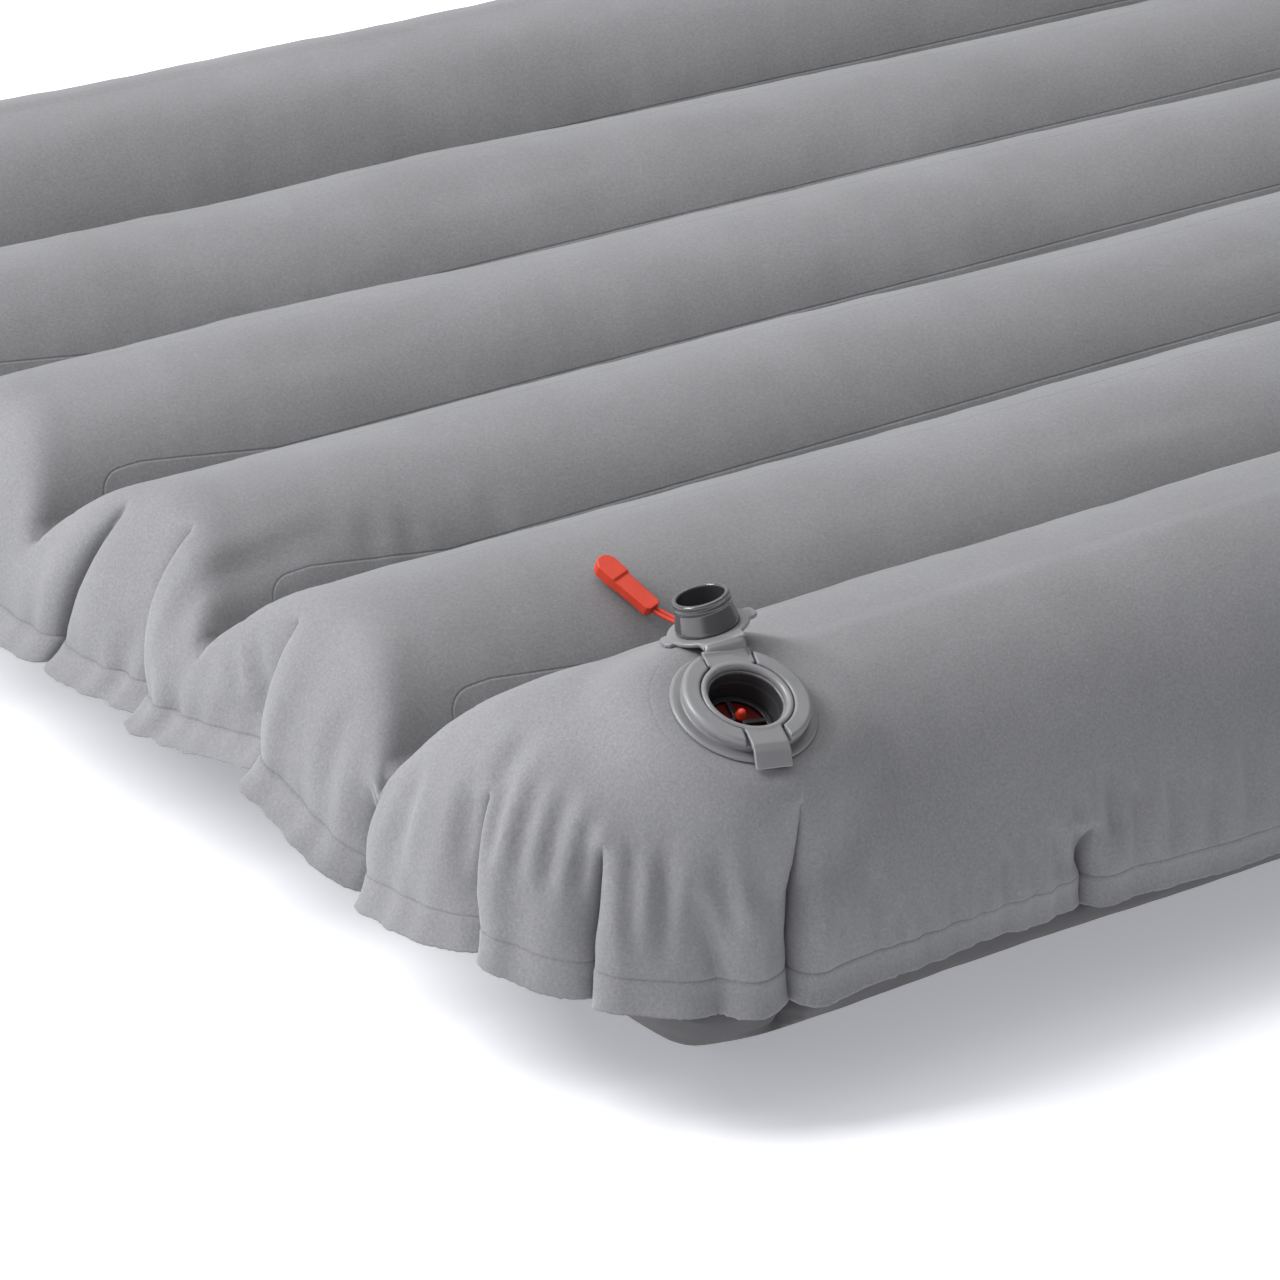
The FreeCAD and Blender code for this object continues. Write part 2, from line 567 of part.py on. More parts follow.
# ---------------------------------------------------------------- pull
# The grip lies on the side of the second tube; its axis runs up that side.
near, far = V(X0 + 105.4, -177.5, 100.2), V(X0 + 99.7, -161.6, 108.9)
zdir = V(0.0, -139.8, ZC)
along = far - near
along.normalize()
out = V(0, near.y + far.y + 2 * 139.8, near.z + far.z - 2 * ZC)
out = out - along * out.dot(along)
out.normalize()
cross = along.cross(out)
cross.normalize()
m = FreeCAD.Matrix(cross.x, along.x, out.x, near.x, cross.y, along.y, out.y, near.y, cross.z, along.z, out.z, near.z, 0, 0, 0, 1)
grip_place = FreeCAD.Placement(m)
grip = new_body("pull_grip")
gl, gw, gt = d("grip_long"), d("grip_wide"), d("grip_thick")
h = gw / 2
pad(grip, "grip_plan", "XY_Plane", [[
    (0.8 - h * 0.8, Q.of(0)), (h * 0.8 - 0.8, Q.of(0)), (h * 0.8, Q.of(0.9)), (h * 0.86, gl * 0.55), (h, gl * 0.78), (h, gl + 0.6),
    (h * 0.72, gl + 2.2), (h * 0.3, gl + 3.1), (-h * 0.3, gl + 3.1), (-h * 0.72, gl + 2.2), (-h, gl + 0.6), (-h, gl * 0.78), (-h * 0.86, gl * 0.55), (-h * 0.8, Q.of(0.9))]],
    gt, midplane=True)
# a waist on the face, behind the thicker round end
pocket(grip, "face_step", "YZ_Plane", [[(Q.of(-1), gt / 2 - 0.5), (gl * 0.7, gt / 2 - 0.5), (gl * 0.76, gt / 2 + 1), (Q.of(-1), gt / 2 + 1)]], gw + 2, midplane=True)
keep(grip, grip_place)

# the cord, a doubled strand from under the strap's neck to the grip
start = valve_place.multVec(V(0.0, 18.85, 2.2))
route = [start, valve_place.multVec(V(0.6, 23.0, 1.25)), valve_place.multVec(V(1.6, 29.0, -3.2)),
         V(X0 + 96.0, -222.5, 116.2), V(X0 + 103.0, -208.0, 110.0), V(X0 + 108.5, -195.0, 101.0), V(X0 + 109.8, -184.5, 96.9), near + along * -0.3]


def tube(points, r):
    """Straight runs joined by tangent arcs, swept by a circle."""
    edges, prev = [], points[0]
    total = 0.0
    for i in range(1, len(points) - 1):
        a, b, c = points[i - 1], points[i], points[i + 1]
        u, w = (a - b), (c - b)
        short = min(u.Length, w.Length)
        u.normalize()
        w.normalize()
        turn_ = math.pi - math.acos(max(-1, min(1, u.dot(w))))
        cut = 0.45 * short
        rad = cut / math.tan(turn_ / 2)
        p, q = b + u * cut, b + w * cut
        bis = (u + w)
        bis.normalize()
        o = b + bis * math.hypot(cut, rad)
        mm = o + (b - o).normalize() * rad
        edges.append(Part.LineSegment(prev, p).toShape())
        edges.append(Part.Arc(p, mm, q).toShape())
        print("cord radius %.1f turn %.0f" % (rad, math.degrees(turn_)))
        prev = q
    edges.append(Part.LineSegment(prev, points[-1]).toShape())
    w = Part.Wire(edges)
    t0 = edges[0].tangentAt(edges[0].FirstParameter)
    c = Part.Wire(Part.makeCircle(r, points[0], t0))
    s = w.makePipeShell([c], True, True)
    print("cord length", w.Length, "volume ratio", s.Volume / (math.pi * r * r * w.Length))
    return s


print("route", [[round(q, 2) for q in (p.x, p.y, p.z)] for p in route])
cr = N["cord_rad"]
strands = []
sides = []
for i in range(len(route)):
    a, b = route[max(i - 1, 0)], route[min(i + 1, len(route) - 1)]
    t = (b - a).normalize()
    w = t.cross(V(0, 0, 1)).normalize()
    if w.dot(cross) < 0:
        w = w * -1.0
    if i == len(route) - 1:
        w = cross
    # keep the gap through a corner
    if 0 < i < len(route) - 1:
        w = w / max(0.8, abs((route[i + 1] - route[i]).normalize().dot(t)))
    sides.append(w)
for name, sgn in (("pull_cord_a", -1), ("pull_cord_b", 1)):
    pts = [p + w * (sgn * (cr + 0.14)) for p, w in zip(route, sides)]
    strands.append(computed(name, tube(pts, cr)))
    print("strand route", name, [[round(q, 2) for q in (p.x, p.y, p.z)] for p in pts])
print("strand overlap", strands[0].Shape.common(strands[1].Shape).Volume)
for s_ in strands:
    for o_ in nodes:
        if o_ not in strands:
            v_ = s_.Shape.common(o_.Shape).Volume
            if v_ > 1e-6:
                print("cord overlap", s_.Label, o_.Label, v_)

# ---------------------------------------------------------------- patch under the fabric round the valve
patch = outer.copy()
core = slab(N["skin"] + 0.08).common(bundle(N["skin"] + 0.08)).cut(slab(N["skin"] + 0.38).common(bundle(N["skin"] + 0.38)))
patch = core.common(local_cyl(N["patch_out"], -40, 10)).cut(local_cyl(N["socket_out"] + 0.15, -60, 20))
patch = one(patch.common(upper))
for i in range(1, 2):
    patch = patch.cut(Part.makeBox(300, 100, 200, V(VX - 150, -203.0, 0)))
computed("valve_patch", one(patch))

# ---------------------------------------------------------------- checks and files
doc.recompute()
bad = 0
for o in doc.Objects:
    if "Invalid" in o.State or "Error" in o.State:
        print("BAD STATE", o.Name, o.State)
        bad += 1
for o in nodes:
    s = o.Shape
    if s.isNull() or not s.isValid() or not s.Solids:
        print("BAD SHAPE", o.Label)
        bad += 1
    print("%-14s solids %d volume %.2f mm3 box %s" % (o.Label, len(s.Solids), s.Volume, [round(q, 1) for q in (s.BoundBox.XMin, s.BoundBox.XMax, s.BoundBox.YMin, s.BoundBox.YMax, s.BoundBox.ZMin, s.BoundBox.ZMax)]))
if bad:
    raise SystemExit("%d failures" % bad)
os.makedirs("parts", exist_ok=True)
for o in nodes:
    o.Shape.exportStep("parts/%s.step" % o.Label)
print("wrote", len(nodes), "parts")
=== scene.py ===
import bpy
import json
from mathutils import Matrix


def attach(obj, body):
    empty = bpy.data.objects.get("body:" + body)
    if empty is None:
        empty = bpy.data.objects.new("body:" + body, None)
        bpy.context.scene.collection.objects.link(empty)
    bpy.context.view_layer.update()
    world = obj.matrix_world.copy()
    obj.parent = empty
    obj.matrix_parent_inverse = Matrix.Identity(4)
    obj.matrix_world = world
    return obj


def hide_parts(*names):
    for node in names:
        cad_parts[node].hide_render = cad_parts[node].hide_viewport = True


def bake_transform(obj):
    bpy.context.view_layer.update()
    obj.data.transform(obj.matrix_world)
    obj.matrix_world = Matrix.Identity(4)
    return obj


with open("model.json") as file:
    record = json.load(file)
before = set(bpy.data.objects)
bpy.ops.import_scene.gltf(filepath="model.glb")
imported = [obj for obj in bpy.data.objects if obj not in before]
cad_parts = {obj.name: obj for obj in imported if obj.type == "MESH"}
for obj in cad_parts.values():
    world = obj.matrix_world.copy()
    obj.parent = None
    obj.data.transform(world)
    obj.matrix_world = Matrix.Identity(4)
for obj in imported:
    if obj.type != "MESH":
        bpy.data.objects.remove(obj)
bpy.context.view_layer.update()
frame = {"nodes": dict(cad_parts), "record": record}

import json
import math
import bpy
import bmesh
import numpy as np
from mathutils import Matrix, Vector
from mathutils.geometry import delaunay_2d_cdt
from mathutils.kdtree import KDTree

scene = bpy.context.scene
MM = 0.001

# ------------------------------------------------------------------ camera
X0, L, ZC = -915.0, 1830.0, 58.0
az, el = -0.5999297344047244, 0.4177817544727801
BACK = Vector((math.sin(az) * math.cos(el), -math.cos(az) * math.cos(el), math.sin(el)))
cam_data = bpy.data.cameras.new("camera")
cam_data.sensor_width = 36.0
cam_data.lens = 7607.949 / 1280.0 * 36.0
cam_data.clip_start, cam_data.clip_end = 0.05, 50.0
cam = bpy.data.objects.new("camera", cam_data)
scene.collection.objects.link(cam)
cam.location = Vector((X0 - 999.10076, -1785.29243, 956.60129)) * MM
cam.rotation_mode = "QUATERNION"
cam.rotation_quaternion = (-BACK).to_track_quat("-Z", "Y")
scene.camera = cam


# ------------------------------------------------------------------ helpers
def new_mesh(name, verts, faces, smooth=True):
    me = bpy.data.meshes.new(name)
    me.from_pydata([tuple(v) for v in verts], [], [tuple(f) for f in faces])
    me.update()
    if smooth:
        me.polygons.foreach_set("use_smooth", [True] * len(me.polygons))
    ob = bpy.data.objects.new(name, me)
    scene.collection.objects.link(ob)
    return ob


def apply_mods(ob):
    bpy.context.view_layer.update()
    dg = bpy.context.evaluated_depsgraph_get()
    me = bpy.data.meshes.new_from_object(ob.evaluated_get(dg))
    old = ob.data
    ob.modifiers.clear()
    ob.data = me
    me.name = ob.name
    if old.users == 0:
        bpy.data.meshes.remove(old)
    return ob


def rng(seed):
    return np.random.default_rng(seed)


def wave_noise(p, scale, seed, n=14, spread=0.5):
    """Smooth noise in about -1..1: many plane waves of about one length in random directions."""
    r = rng(seed)
    p = np.asarray(p, float)
    out = np.zeros(len(p))
    for _ in range(n):
        d = r.normal(size=p.shape[1])
        d /= np.linalg.norm(d)
        k = 2 * np.pi / (scale * (1 + spread * r.uniform(-1, 1)))
        out += np.sin(p @ d * k + r.uniform(0, 6.28))
    return out / math.sqrt(n / 2.0) * 0.6


def sstep(a, b, x):
    t = np.clip((x - a) / (b - a), 0, 1)
    return t * t * (3 - 2 * t)


# ------------------------------------------------------------------ the pad's shape, in mm from the valve end
HW0, SLOPE, RC, ER = 302.7, 0.036, 80.0, 57.0
A_SIDE = math.atan(SLOPE)
ARC = ER * math.pi / 2


def half_w(x):
    return HW0 - SLOPE * x


# corner circle centres of the plan outline
CXH = RC
CYH = half_w(CXH) - RC / math.cos(A_SIDE)
CXF = L - RC
CYF = half_w(CXF) - RC / math.cos(A_SIDE)
RS = RC - ER  # corner radius of the spine, the line under the edge tube's crown


def spine_sd(x, y):
    """Signed distance to the spine (positive outside) and the outward direction there."""
    s = np.sign(np.where(y == 0, 1.0, y))
    ya = np.abs(y)
    # polygon of corner centres, grown by RS
    ax, ay, bx, by = CXH, CYH, CXF, CYF
    nx, ny = math.sin(A_SIDE), math.cos(A_SIDE)
    d_side = (x - ax) * nx + (ya - ay) * ny
    t = (x - ax) * ny - (ya - ay) * nx
    ln = math.hypot(bx - ax, by - ay)
    d_h, d_f = ax - x, x - bx
    # distance to the three lines and the two corners
    dist = np.maximum(np.maximum(d_h, d_f), d_side)
    gx = np.where(dist == d_h, -1.0, np.where(dist == d_f, 1.0, nx))
    gy = np.where((dist == d_h) | (dist == d_f), 0.0, ny)
    for cx, cy, head in ((ax, ay, True), (bx, by, False)):
        dx, dy = x - cx, ya - cy
        if head:
            m = (dx < 0) | (t < 0)
            m &= (dy > 0) & ((d_side > 0) | (dx < 0)) & (t < 0)
        else:
            m = (dy > 0) & (t > ln)
        r = np.hypot(dx, dy)
        ok = m & (r > 1e-6)
        dist = np.where(ok, r, dist)
        gx = np.where(ok, dx / np.maximum(r, 1e-6), gx)
        gy = np.where(ok, dy / np.maximum(r, 1e-6), gy)
    return dist - RS, gx, gy * s


def tube_h(x, y):
    """Height of the tubes' round tops over the middle plane, and distance along y to the nearest crease."""
    xc = np.clip(x, 0, L)
    p = 95.0 - 0.018 * xc
    r = 51.3 - 8.3 * xc / L
    rise = np.sqrt(r * r - p * p / 4)
    ya = np.abs(y)
    k = np.floor(ya / p)
    inner = np.sqrt(np.maximum(1.0, r * r - (ya - (k + 0.5) * p) ** 2))
    yo = half_w(xc) - ER
    ro = np.hypot(yo - 2 * p, rise)
    out = np.where(ya < yo, np.sqrt(np.maximum(1.0, ro * ro - (ya - yo) ** 2)), 80.0)
    h = np.where(ya > 2 * p, out, inner)
    near = np.abs(ya / p - np.round(ya / p)) * p
    near = np.where(ya > 2 * p, ya - 2 * p, near)
    return h, near


def seam_z(x, y):
    """Height of the weld line round the edge."""
    ya = np.abs(y)
    end = np.interp(ya, [0, 50, 95, 136, 165, 190, 215, 243, 262, 280], [61, 62, 64, 69, 61, 52.5, 54, 56.5, 53, 51])
    side = 45.0 + 1.5 * np.sin(x / 61.0) + 1.0 * np.sin(x / 23.0 + 1.0)
    w = sstep(-5, 70, np.minimum(x, L - x))
    return end * (1 - w) + side * w


def smin(a, b, k):
    return np.minimum(a, b) - np.maximum(k - np.abs(a - b), 0) ** 2 / (4 * k)


def plain(u, w, up=True):
    """The unwrinkled skin at a point of the unrolled plan (u along, w across)."""
    rho, gx, gy = spine_sd(u, w)
    th = np.clip(1 - rho / ARC, 0, 1) * (np.pi / 2)
    over = np.maximum(rho - ARC, 0)
    inside = rho <= 0
    d = ER * np.cos(th)
    bx, by = u - gx * rho, w - gy * rho
    x = np.where(inside, u, bx + gx * (d + over))
    y = np.where(inside, w, by + gy * (d + over))
    he = np.where(inside, 58.0, 58.0 * np.sin(th))
    # each tube's end bulges, so the wall draws back at the creases
    _, near0 = tube_h(np.clip(x, 0, L), y)
    ndx = np.where(inside, 0.0, gx)
    k_end = np.abs(ndx) * sstep(0.08, 0.75, th / (np.pi / 2)) * (np.abs(y) < 215)
    k_end = k_end * (1 - sstep(1.0, 1.5, th))
    x = x - np.sign(ndx) * 9.0 * k_end * np.exp(-(near0 / 17.0) ** 2)
    ht, near = tube_h(x, y)
    h = smin(ht, he, 5.0)
    h = np.where(he < 5, np.minimum(h, he), h)
    h = np.maximum(h, 0)
    zs = seam_z(x, y)
    if up:
        lift = (58.0 - zs) * (1 - he / 58.0)
        z = ZC + h - lift
    else:
        # the underside runs in to the ground at a slant, more so at the ends
        t = np.clip((ER - d) / ER, 0, 1)
        t = np.where(inside, 1.0, t)
        far = np.hypot(np.minimum(rho - 0.0, ARC), 0)
        run = np.clip((ARC - rho) / ARC, 0, 2.0)
        endish = sstep(0.35, 0.95, np.abs(gx))
        flat = 0.50 + 0.50 * endish
        reach = 1.02 + 0.18 * endish
        # distance in from the weld line, seen from above
        inn = np.where(inside, ER - rho, ER - d) / ER
        lin = np.clip(inn / reach, 0, 1)
        lin = smin(lin, np.ones_like(lin), 0.22)
        circ = np.where(inside, 1.0, he / 58.0)
        lin = np.where(inn > reach * 1.3, 1.0, lin)
        g = circ * (1 - flat) + lin * flat
        hb = np.minimum(ht, 58.0) * 1.0
        top_z = zs
        hb2 = smin(ht, 58.0 * np.ones_like(ht), 7.0)
        z = zs + (ZC - hb2 - zs) * g
    return x, y, z, he, near, rho, gx, gy


def unroll(x, y, z):
    """The unrolled place of a point that lies on the edge's round, from its height."""
    x, y, z = (np.array([float(v)]) for v in (x, y, z))
    rho, gx, gy = spine_sd(x, y)
    bx, by = x - gx * rho, y - gy * rho
    zs = seam_z(bx + gx * ER, by + gy * ER)
    s = np.clip((z - zs) / (116.0 - zs), 0, 1)
    # tubes lower than the edge tube reach their crown sooner
    r = ARC * (1 - np.arcsin(s) / (np.pi / 2))
    r2 = np.where(rho > 0, r, rho)
    return float((bx + gx * r2)[0]), float((by + gy * r2)[0])


# ------------------------------------------------------------------ pleats: tip and foot, depth, width, lean
def pl(tip, foot, depth, wide=1.5, lean=1.0, soft=10.0, share=0.72):
    a, b = unroll(*tip), unroll(*foot)
    # carry the foot out to the weld line
    ax, ay = a
    bx, by = b
    rho, gx, gy = spine_sd(np.array([bx]), np.array([by]))
    ext = max(0.0, ARC - float(rho[0]))
    n = math.hypot(bx - ax, by - ay)
    ux, uy = (bx - ax) / n, (by - ay) / n
    c = max(0.35, ux * float(gx[0]) + uy * float(gy[0]))
    return dict(a=(ax, ay), b=(bx + ux * ext / c, by + uy * ext / c), depth=depth, wide=wide, lean=lean, soft=soft, share=share)


PL = []
VISIBLE = [
    # tip, foot, depth, lip width, side of the lip, width of the soft side, share of the sharp part
    ((27.4, -61.9, 107), (1.0, -74.5, 64), 17, 1.2, 1.0, 19, 0.5),
    ((20.6, -129.3, 103.5), (0.4, -136.4, 71), 19, 1.2, 1.0, 22, 0.44),
    ((2.4, -191.2, 77), (0.0, -190.4, 54), 14, 1.3, 1.0, 10, 0.6),
    ((2.4, -184.8, 76), (0.6, -186.0, 66), 4.0, 1.2, 1.0, 4, 0.8),
    ((11.7, -234.9, 91.5), (3.6, -243.4, 54), 16.5, 1.2, 1.0, 14, 0.5),
    ((24.8, -269.6, 84), (20.4, -273.5, 51), 15, 1.2, 1.0, 13, 0.5),
    ((44.5, -290.3, 72), (47.7, -292.9, 46), 4.5, 3.6, 0.0, 9, 0.6),
    ((74.8, -293.0, 86), (71.0, -299.2, 45), 19, 1.6, 1.0, 11, 0.5),
    ((171.5, -294.5, 62), (170.4, -296.5, 44), 10, 1.8, 1.0, 9, 0.6),
]
for v in VISIBLE:
    PL.append(pl(*v))
r_ = rng(11)
# the far half of the end, the far side, the near side beyond and the foot, with the same rhythm
for t, f, d, w, ln, so, sh in VISIBLE:
    j = r_.uniform(-2.5, 2.5)
    PL.append(pl((t[0] * r_.uniform(0.85, 1.1), -t[1] + j, t[2]), (f[0], -f[1] + j, f[2]), d * r_.uniform(0.75, 1.0), w, -ln, so, sh))
PL.append(pl((24.0, -33.0, 104), (1.5, -24.0, 64), 9, 1.6, -1.0, 9, 0.72))
for s in (-1, 1):
    x = 262.0 if s < 0 else 236.0
    while x < L - 120:
        y = s * half_w(x)
        top = r_.uniform(60, 84)
        PL.append(pl((x + r_.uniform(-5, 5), y - s * (57 - 57 * math.cos((top - 45) / 71.0)), top), (x, y, 46), r_.uniform(3, 9) * (1.0 if r_.uniform() < 0.7 else 0.5), r_.uniform(1.6, 2.4), r_.choice([-1, 0, 1]), 9, 0.6))
        x += r_.uniform(78, 128)
    # foot corners
    for ang, d, top in ((18, 9, 80), (44, 12, 86), (70, 10, 88)):
        a = math.radians(ang + r_.uniform(-3, 3))
        cx, cy = CXF, s * CYF
        nx, ny = math.cos(a), s * math.sin(a)
        q = RC - 8
        PL.append(pl((cx + nx * q, cy + ny * q, top), (cx + nx * RC, cy + ny * RC, 52), d, 1.6, r_.choice([-1, 1]), 12, 0.5))
pf = 95 - 0.018 * L
for k in (-3, -1, 1, 3, -5, 5):
    y = k * pf / 2 + r_.uniform(-2, 2)
    mid = k % 2 != 0
    PL.append(pl((L - (21 if mid else 3), y * 1.0, 97 if mid else 76), (L - 1, y + r_.uniform(-3, 3), 62), 10 if mid else 7, 1.6, r_.choice([-1, 1]), 14, 0.5))

# soft dents that run beside the sharp pleats: from, to, depth, half width
DENTS = [
    ((15.5, -239.3, 95), (6.8, -243.6, 76), 1.5, 2.8), ((18.5, -247.9, 95), (9.0, -251.5, 74), 1.7, 3.0),
    ((22.0, -255.7, 94), (13.1, -260.0, 72), 1.8, 3.2), ((24.6, -264.1, 90), (17.2, -266.9, 71), 1.4, 2.8),
    ((49.6, -290.0, 80), (51.5, -294.6, 62), 1.6, 3.4), ((58.0, -291.0, 83), (58.6, -296.2, 66), 1.2, 3.0),
    ((82.0, -286.5, 96), (75.5, -294.0, 83), 2.0, 3.0), ((27.5, -234.0, 104), (13.0, -235.5, 92), 1.4, 3.4),
    ((158.6, -295.5, 64), (159.7, -296.9, 46), 1.9, 2.4), ((149.0, -296.2, 60), (150.0, -297.2, 46), 1.4, 2.0),
    ((140.0, -296.0, 62), (140.5, -297.2, 46), 1.7, 2.2), ((131.0, -297.0, 56), (131.5, -297.7, 46), 1.2, 1.9),
    ((122.0, -296.8, 59), (122.5, -298.0, 46), 1.6, 2.3), ((112.0, -297.5, 55), (112.5, -298.4, 46), 1.2, 2.0),
    ((103.0, -297.4, 57), (103.5, -298.6, 46), 1.3, 2.2), ((166.0, -292.0, 72), (166.5, -296.0, 55), 1.6, 2.4),
    ((178.0, -290.5, 74), (178.5, -295.5, 56), 1.8, 2.8), ((187.0, -293.0, 68), (187.5, -296.0, 50), 1.6, 2.4), ((10.5, -115.8, 94), (4.0, -128.0, 80), 1.5, 3.0),
    ((7.3, -110.5, 88), (3.5, -118.0, 78), 1.1, 2.4),
    ((60.0, -77.0, 97), (52.0, -82.5, 90), 1.0, 3.2), ((76.0, -78.0, 97), (70.0, -83.5, 90), 1.1, 3.0),
    ((88.0, -79.0, 96), (84.0, -84.0, 89), 0.9, 2.6), ((118.0, -78.5, 96), (113.0, -84.0, 89), 1.0, 3.4), ((92.0, -290.0, 90), (88.0, -296.0, 70), 1.0, 4.0),
    ((96.0, -296.0, 66), (97.0, -299.0, 47), 1.5, 2.4), ((200.0, -292.0, 70), (200.5, -295.0, 48), 1.7, 2.8),
    ((214.0, -291.5, 64), (214.5, -294.5, 47), 1.4, 2.4), ((228.0, -291.0, 72), (228.5, -294.0, 48), 1.6, 3.0),
    ((64.0, -293.0, 74), (63.0, -298.0, 50), 1.7, 2.8), ((36.0, -284.0, 84), (33.0, -287.5, 58), 1.5, 3.0),
    ((29.5, -278.0, 84), (26.0, -281.0, 60), 1.4, 2.8), ((9.0, -228.0, 92), (3.0, -231.0, 70), 1.3, 3.2),
    ((5.0, -205.0, 86), (2.0, -207.0, 64), 1.3, 3.2), ((6.0, -168.0, 90), (2.0, -170.0, 66), 1.2, 3.6),
]
DN = []
for t, f, d, w in DENTS:
    DN.append((unroll(*t), unroll(*f), d, w))
    DN.append((unroll(t[0], -t[1] + 3, t[2]), unroll(f[0], -f[1] + 3, f[2]), d * 0.8, w))


def seg_coords(u, w, a, b):
    ax, ay = a
    bx, by = b
    n = math.hypot(bx - ax, by - ay)
    ux, uy = (bx - ax) / n, (by - ay) / n
    du, dw = u - ax, w - ay
    return (du * ux + dw * uy) / n, -du * uy + dw * ux, n, ux, uy


# ------------------------------------------------------------------ sample the unrolled plan
def sample_plan():
    pts = []
    # tube grid, with lines on every crease
    xs = np.concatenate([np.arange(23.5, 120, 2.4), np.arange(120, 430, 3.6), np.arange(430, L - 130, 7.0), np.arange(L - 130, L - 23, 3.5)])
    for x in xs:
        p = 95.0 - 0.018 * x
        ys = []
        for k in range(-2, 2):
            s = np.linspace(0, 1, 27)[:-1]
            s = 0.5 - 0.5 * np.cos(np.pi * s) * 0.35 + (s - 0.5) * 0.65
            ys.append((k + s) * p)
        yo = half_w(x) - ER - 1.2
        ys.append(np.linspace(2 * p, yo, 17))
        ys.append(np.linspace(-yo, -2 * p, 17)[:-1])
        ys = np.concatenate(ys)
        pts.append(np.stack([np.full_like(ys, x), ys], 1))
    inner = np.concatenate(pts)
    rho, _, _ = spine_sd(inner[:, 0], inner[:, 1])
    inner = inner[rho < -0.6]
    # rings round the edge
    rings = []
    corner = RS * (math.pi / 2)
    loops = []

    def loop(rr, fine):
        """Points of the spine grown by rr, spaced fine near the valve end and wider elsewhere."""
        q = []
        rad = RS + rr
        up = math.pi / 2 - A_SIDE
        # end line, from -Y to +Y
        n = int(2 * CYH / (fine * 1.0))
        y = np.linspace(-CYH, CYH, n + 1)[:-1]
        q.append(np.stack([np.full_like(y, CXH - rad), y], 1))
        m = max(6, int(rad * (math.pi - up) / fine))
        t = np.linspace(math.pi, up, m + 1)[:-1]
        q.append(np.stack([CXH + rad * np.cos(t), CYH + rad * np.sin(t)], 1))
        ax, ay = CXH + rad * math.cos(up), CYH + rad * math.sin(up)
        bx, by = CXF + rad * math.cos(up), CYF + rad * math.sin(up)
        ln = math.hypot(bx - ax, by - ay)
        s = np.concatenate([np.arange(0, 360, fine), np.arange(360, ln - 3, fine * 1.9)]) / ln
        q.append(np.stack([ax + (bx - ax) * s, ay + (by - ay) * s], 1))
        m = max(5, int(rad * up / (fine * 1.5)))
        t = np.linspace(up, 0, m + 1)[:-1]
        q.append(np.stack([CXF + rad * np.cos(t), CYF + rad * np.sin(t)], 1))
        n = int(2 * CYF / (fine * 1.5))
        y = np.linspace(CYF, -CYF, n + 1)[:-1]
        q.append(np.stack([np.full_like(y, CXF + rad), y], 1))
        t = np.linspace(0, -up, m + 1)[:-1]
        q.append(np.stack([CXF + rad * np.cos(t), -CYF + rad * np.sin(t)], 1))
        s = 1 - s[::-1]
        s = 1 - np.concatenate([np.arange(0, 360, fine), np.arange(360, ln - 3, fine * 1.9)])[::-1] / ln
        q.append(np.stack([bx + (ax - bx) * s, -by - (ay - by) * s], 1))
        m = max(6, int(rad * (math.pi - up) / fine))
        t = np.linspace(-up, -math.pi, m + 1)[:-1]
        q.append(np.stack([CXH + rad * np.cos(t), -CYH + rad * np.sin(t)], 1))
        return np.concatenate(q)

    for rr in np.concatenate([np.linspace(0, 60, 20), np.linspace(63, ARC - 2.2, 12)]):
        rings.append(loop(rr, 2.6 if rr > 25 else 3.2))
    edge = loop(ARC, 1.5)
    rings = np.concatenate(rings)
    base = np.concatenate([inner, rings])
    keep = np.ones(len(base), bool)
    keep_e = np.ones(len(edge), bool)
    extra, extra_edge = [], []
    lat = np.array([0, 0.3, 0.65, 1.05, 1.5, 2.1, 2.9, 3.9, 5.2, 6.8, 8.6])
    lat = np.concatenate([-lat[::-1][:-1], lat])
    for q in PL:
        t, s, n, ux, uy = seg_coords(base[:, 0], base[:, 1], q["a"], q["b"])
        keep &= ~((np.abs(s) < 9.6) & (t > -4.5 / n) & (t < 1.2))
        t, s, n, ux, uy = seg_coords(edge[:, 0], edge[:, 1], q["a"], q["b"])
        keep_e &= ~((np.abs(s) < 9.6) & (t > 0.6))
        rows = np.arange(-3.6, n + 9, 1.25)
        tt, ss = np.meshgrid(rows, lat, indexing="ij")
        px = q["a"][0] + tt * ux - ss * uy
        py = q["a"][1] + tt * uy + ss * ux
        grid = np.stack([px.ravel(), py.ravel()], 1)
        rho, _, _ = spine_sd(grid[:, 0], grid[:, 1])
        extra.append(grid[rho < ARC - 0.7])
        # the pleat's own points on the weld line
        for s0 in lat:
            lo, hi = 0.3, 1.6
            f = lambda t_: spine_sd(np.array([q["a"][0] + t_ * n * ux - s0 * uy]), np.array([q["a"][1] + t_ * n * uy + s0 * ux]))[0][0] - ARC
            for _ in range(30):
                mid = (lo + hi) / 2
                if f(mid) > 0:
                    hi = mid
                else:
                    lo = mid
            extra_edge.append((q["a"][0] + lo * n * ux - s0 * uy, q["a"][1] + lo * n * uy + s0 * ux))
    base = base[keep]
    # order the edge round the outline
    edge = np.concatenate([edge[keep_e], np.array(extra_edge)])
    ang_key = []
    for x, y in edge:
        # a running length round the outline, from the middle of the valve end
        ang_key.append(math.atan2(y / 400.0, -(x - L / 2) / 960.0))
    edge = edge[np.argsort(np.array(ang_key))]
    gap = np.hypot(*(edge - np.roll(edge, 1, 0)).T)
    edge = edge[gap > 0.12]
    extra = np.concatenate(extra)
    # thin out points that two pleats share
    cell = np.round(extra / 0.28).astype(int)
    _, idx = np.unique(cell, axis=0, return_index=True)
    extra = extra[np.sort(idx)]
    return edge, np.concatenate([base, extra])


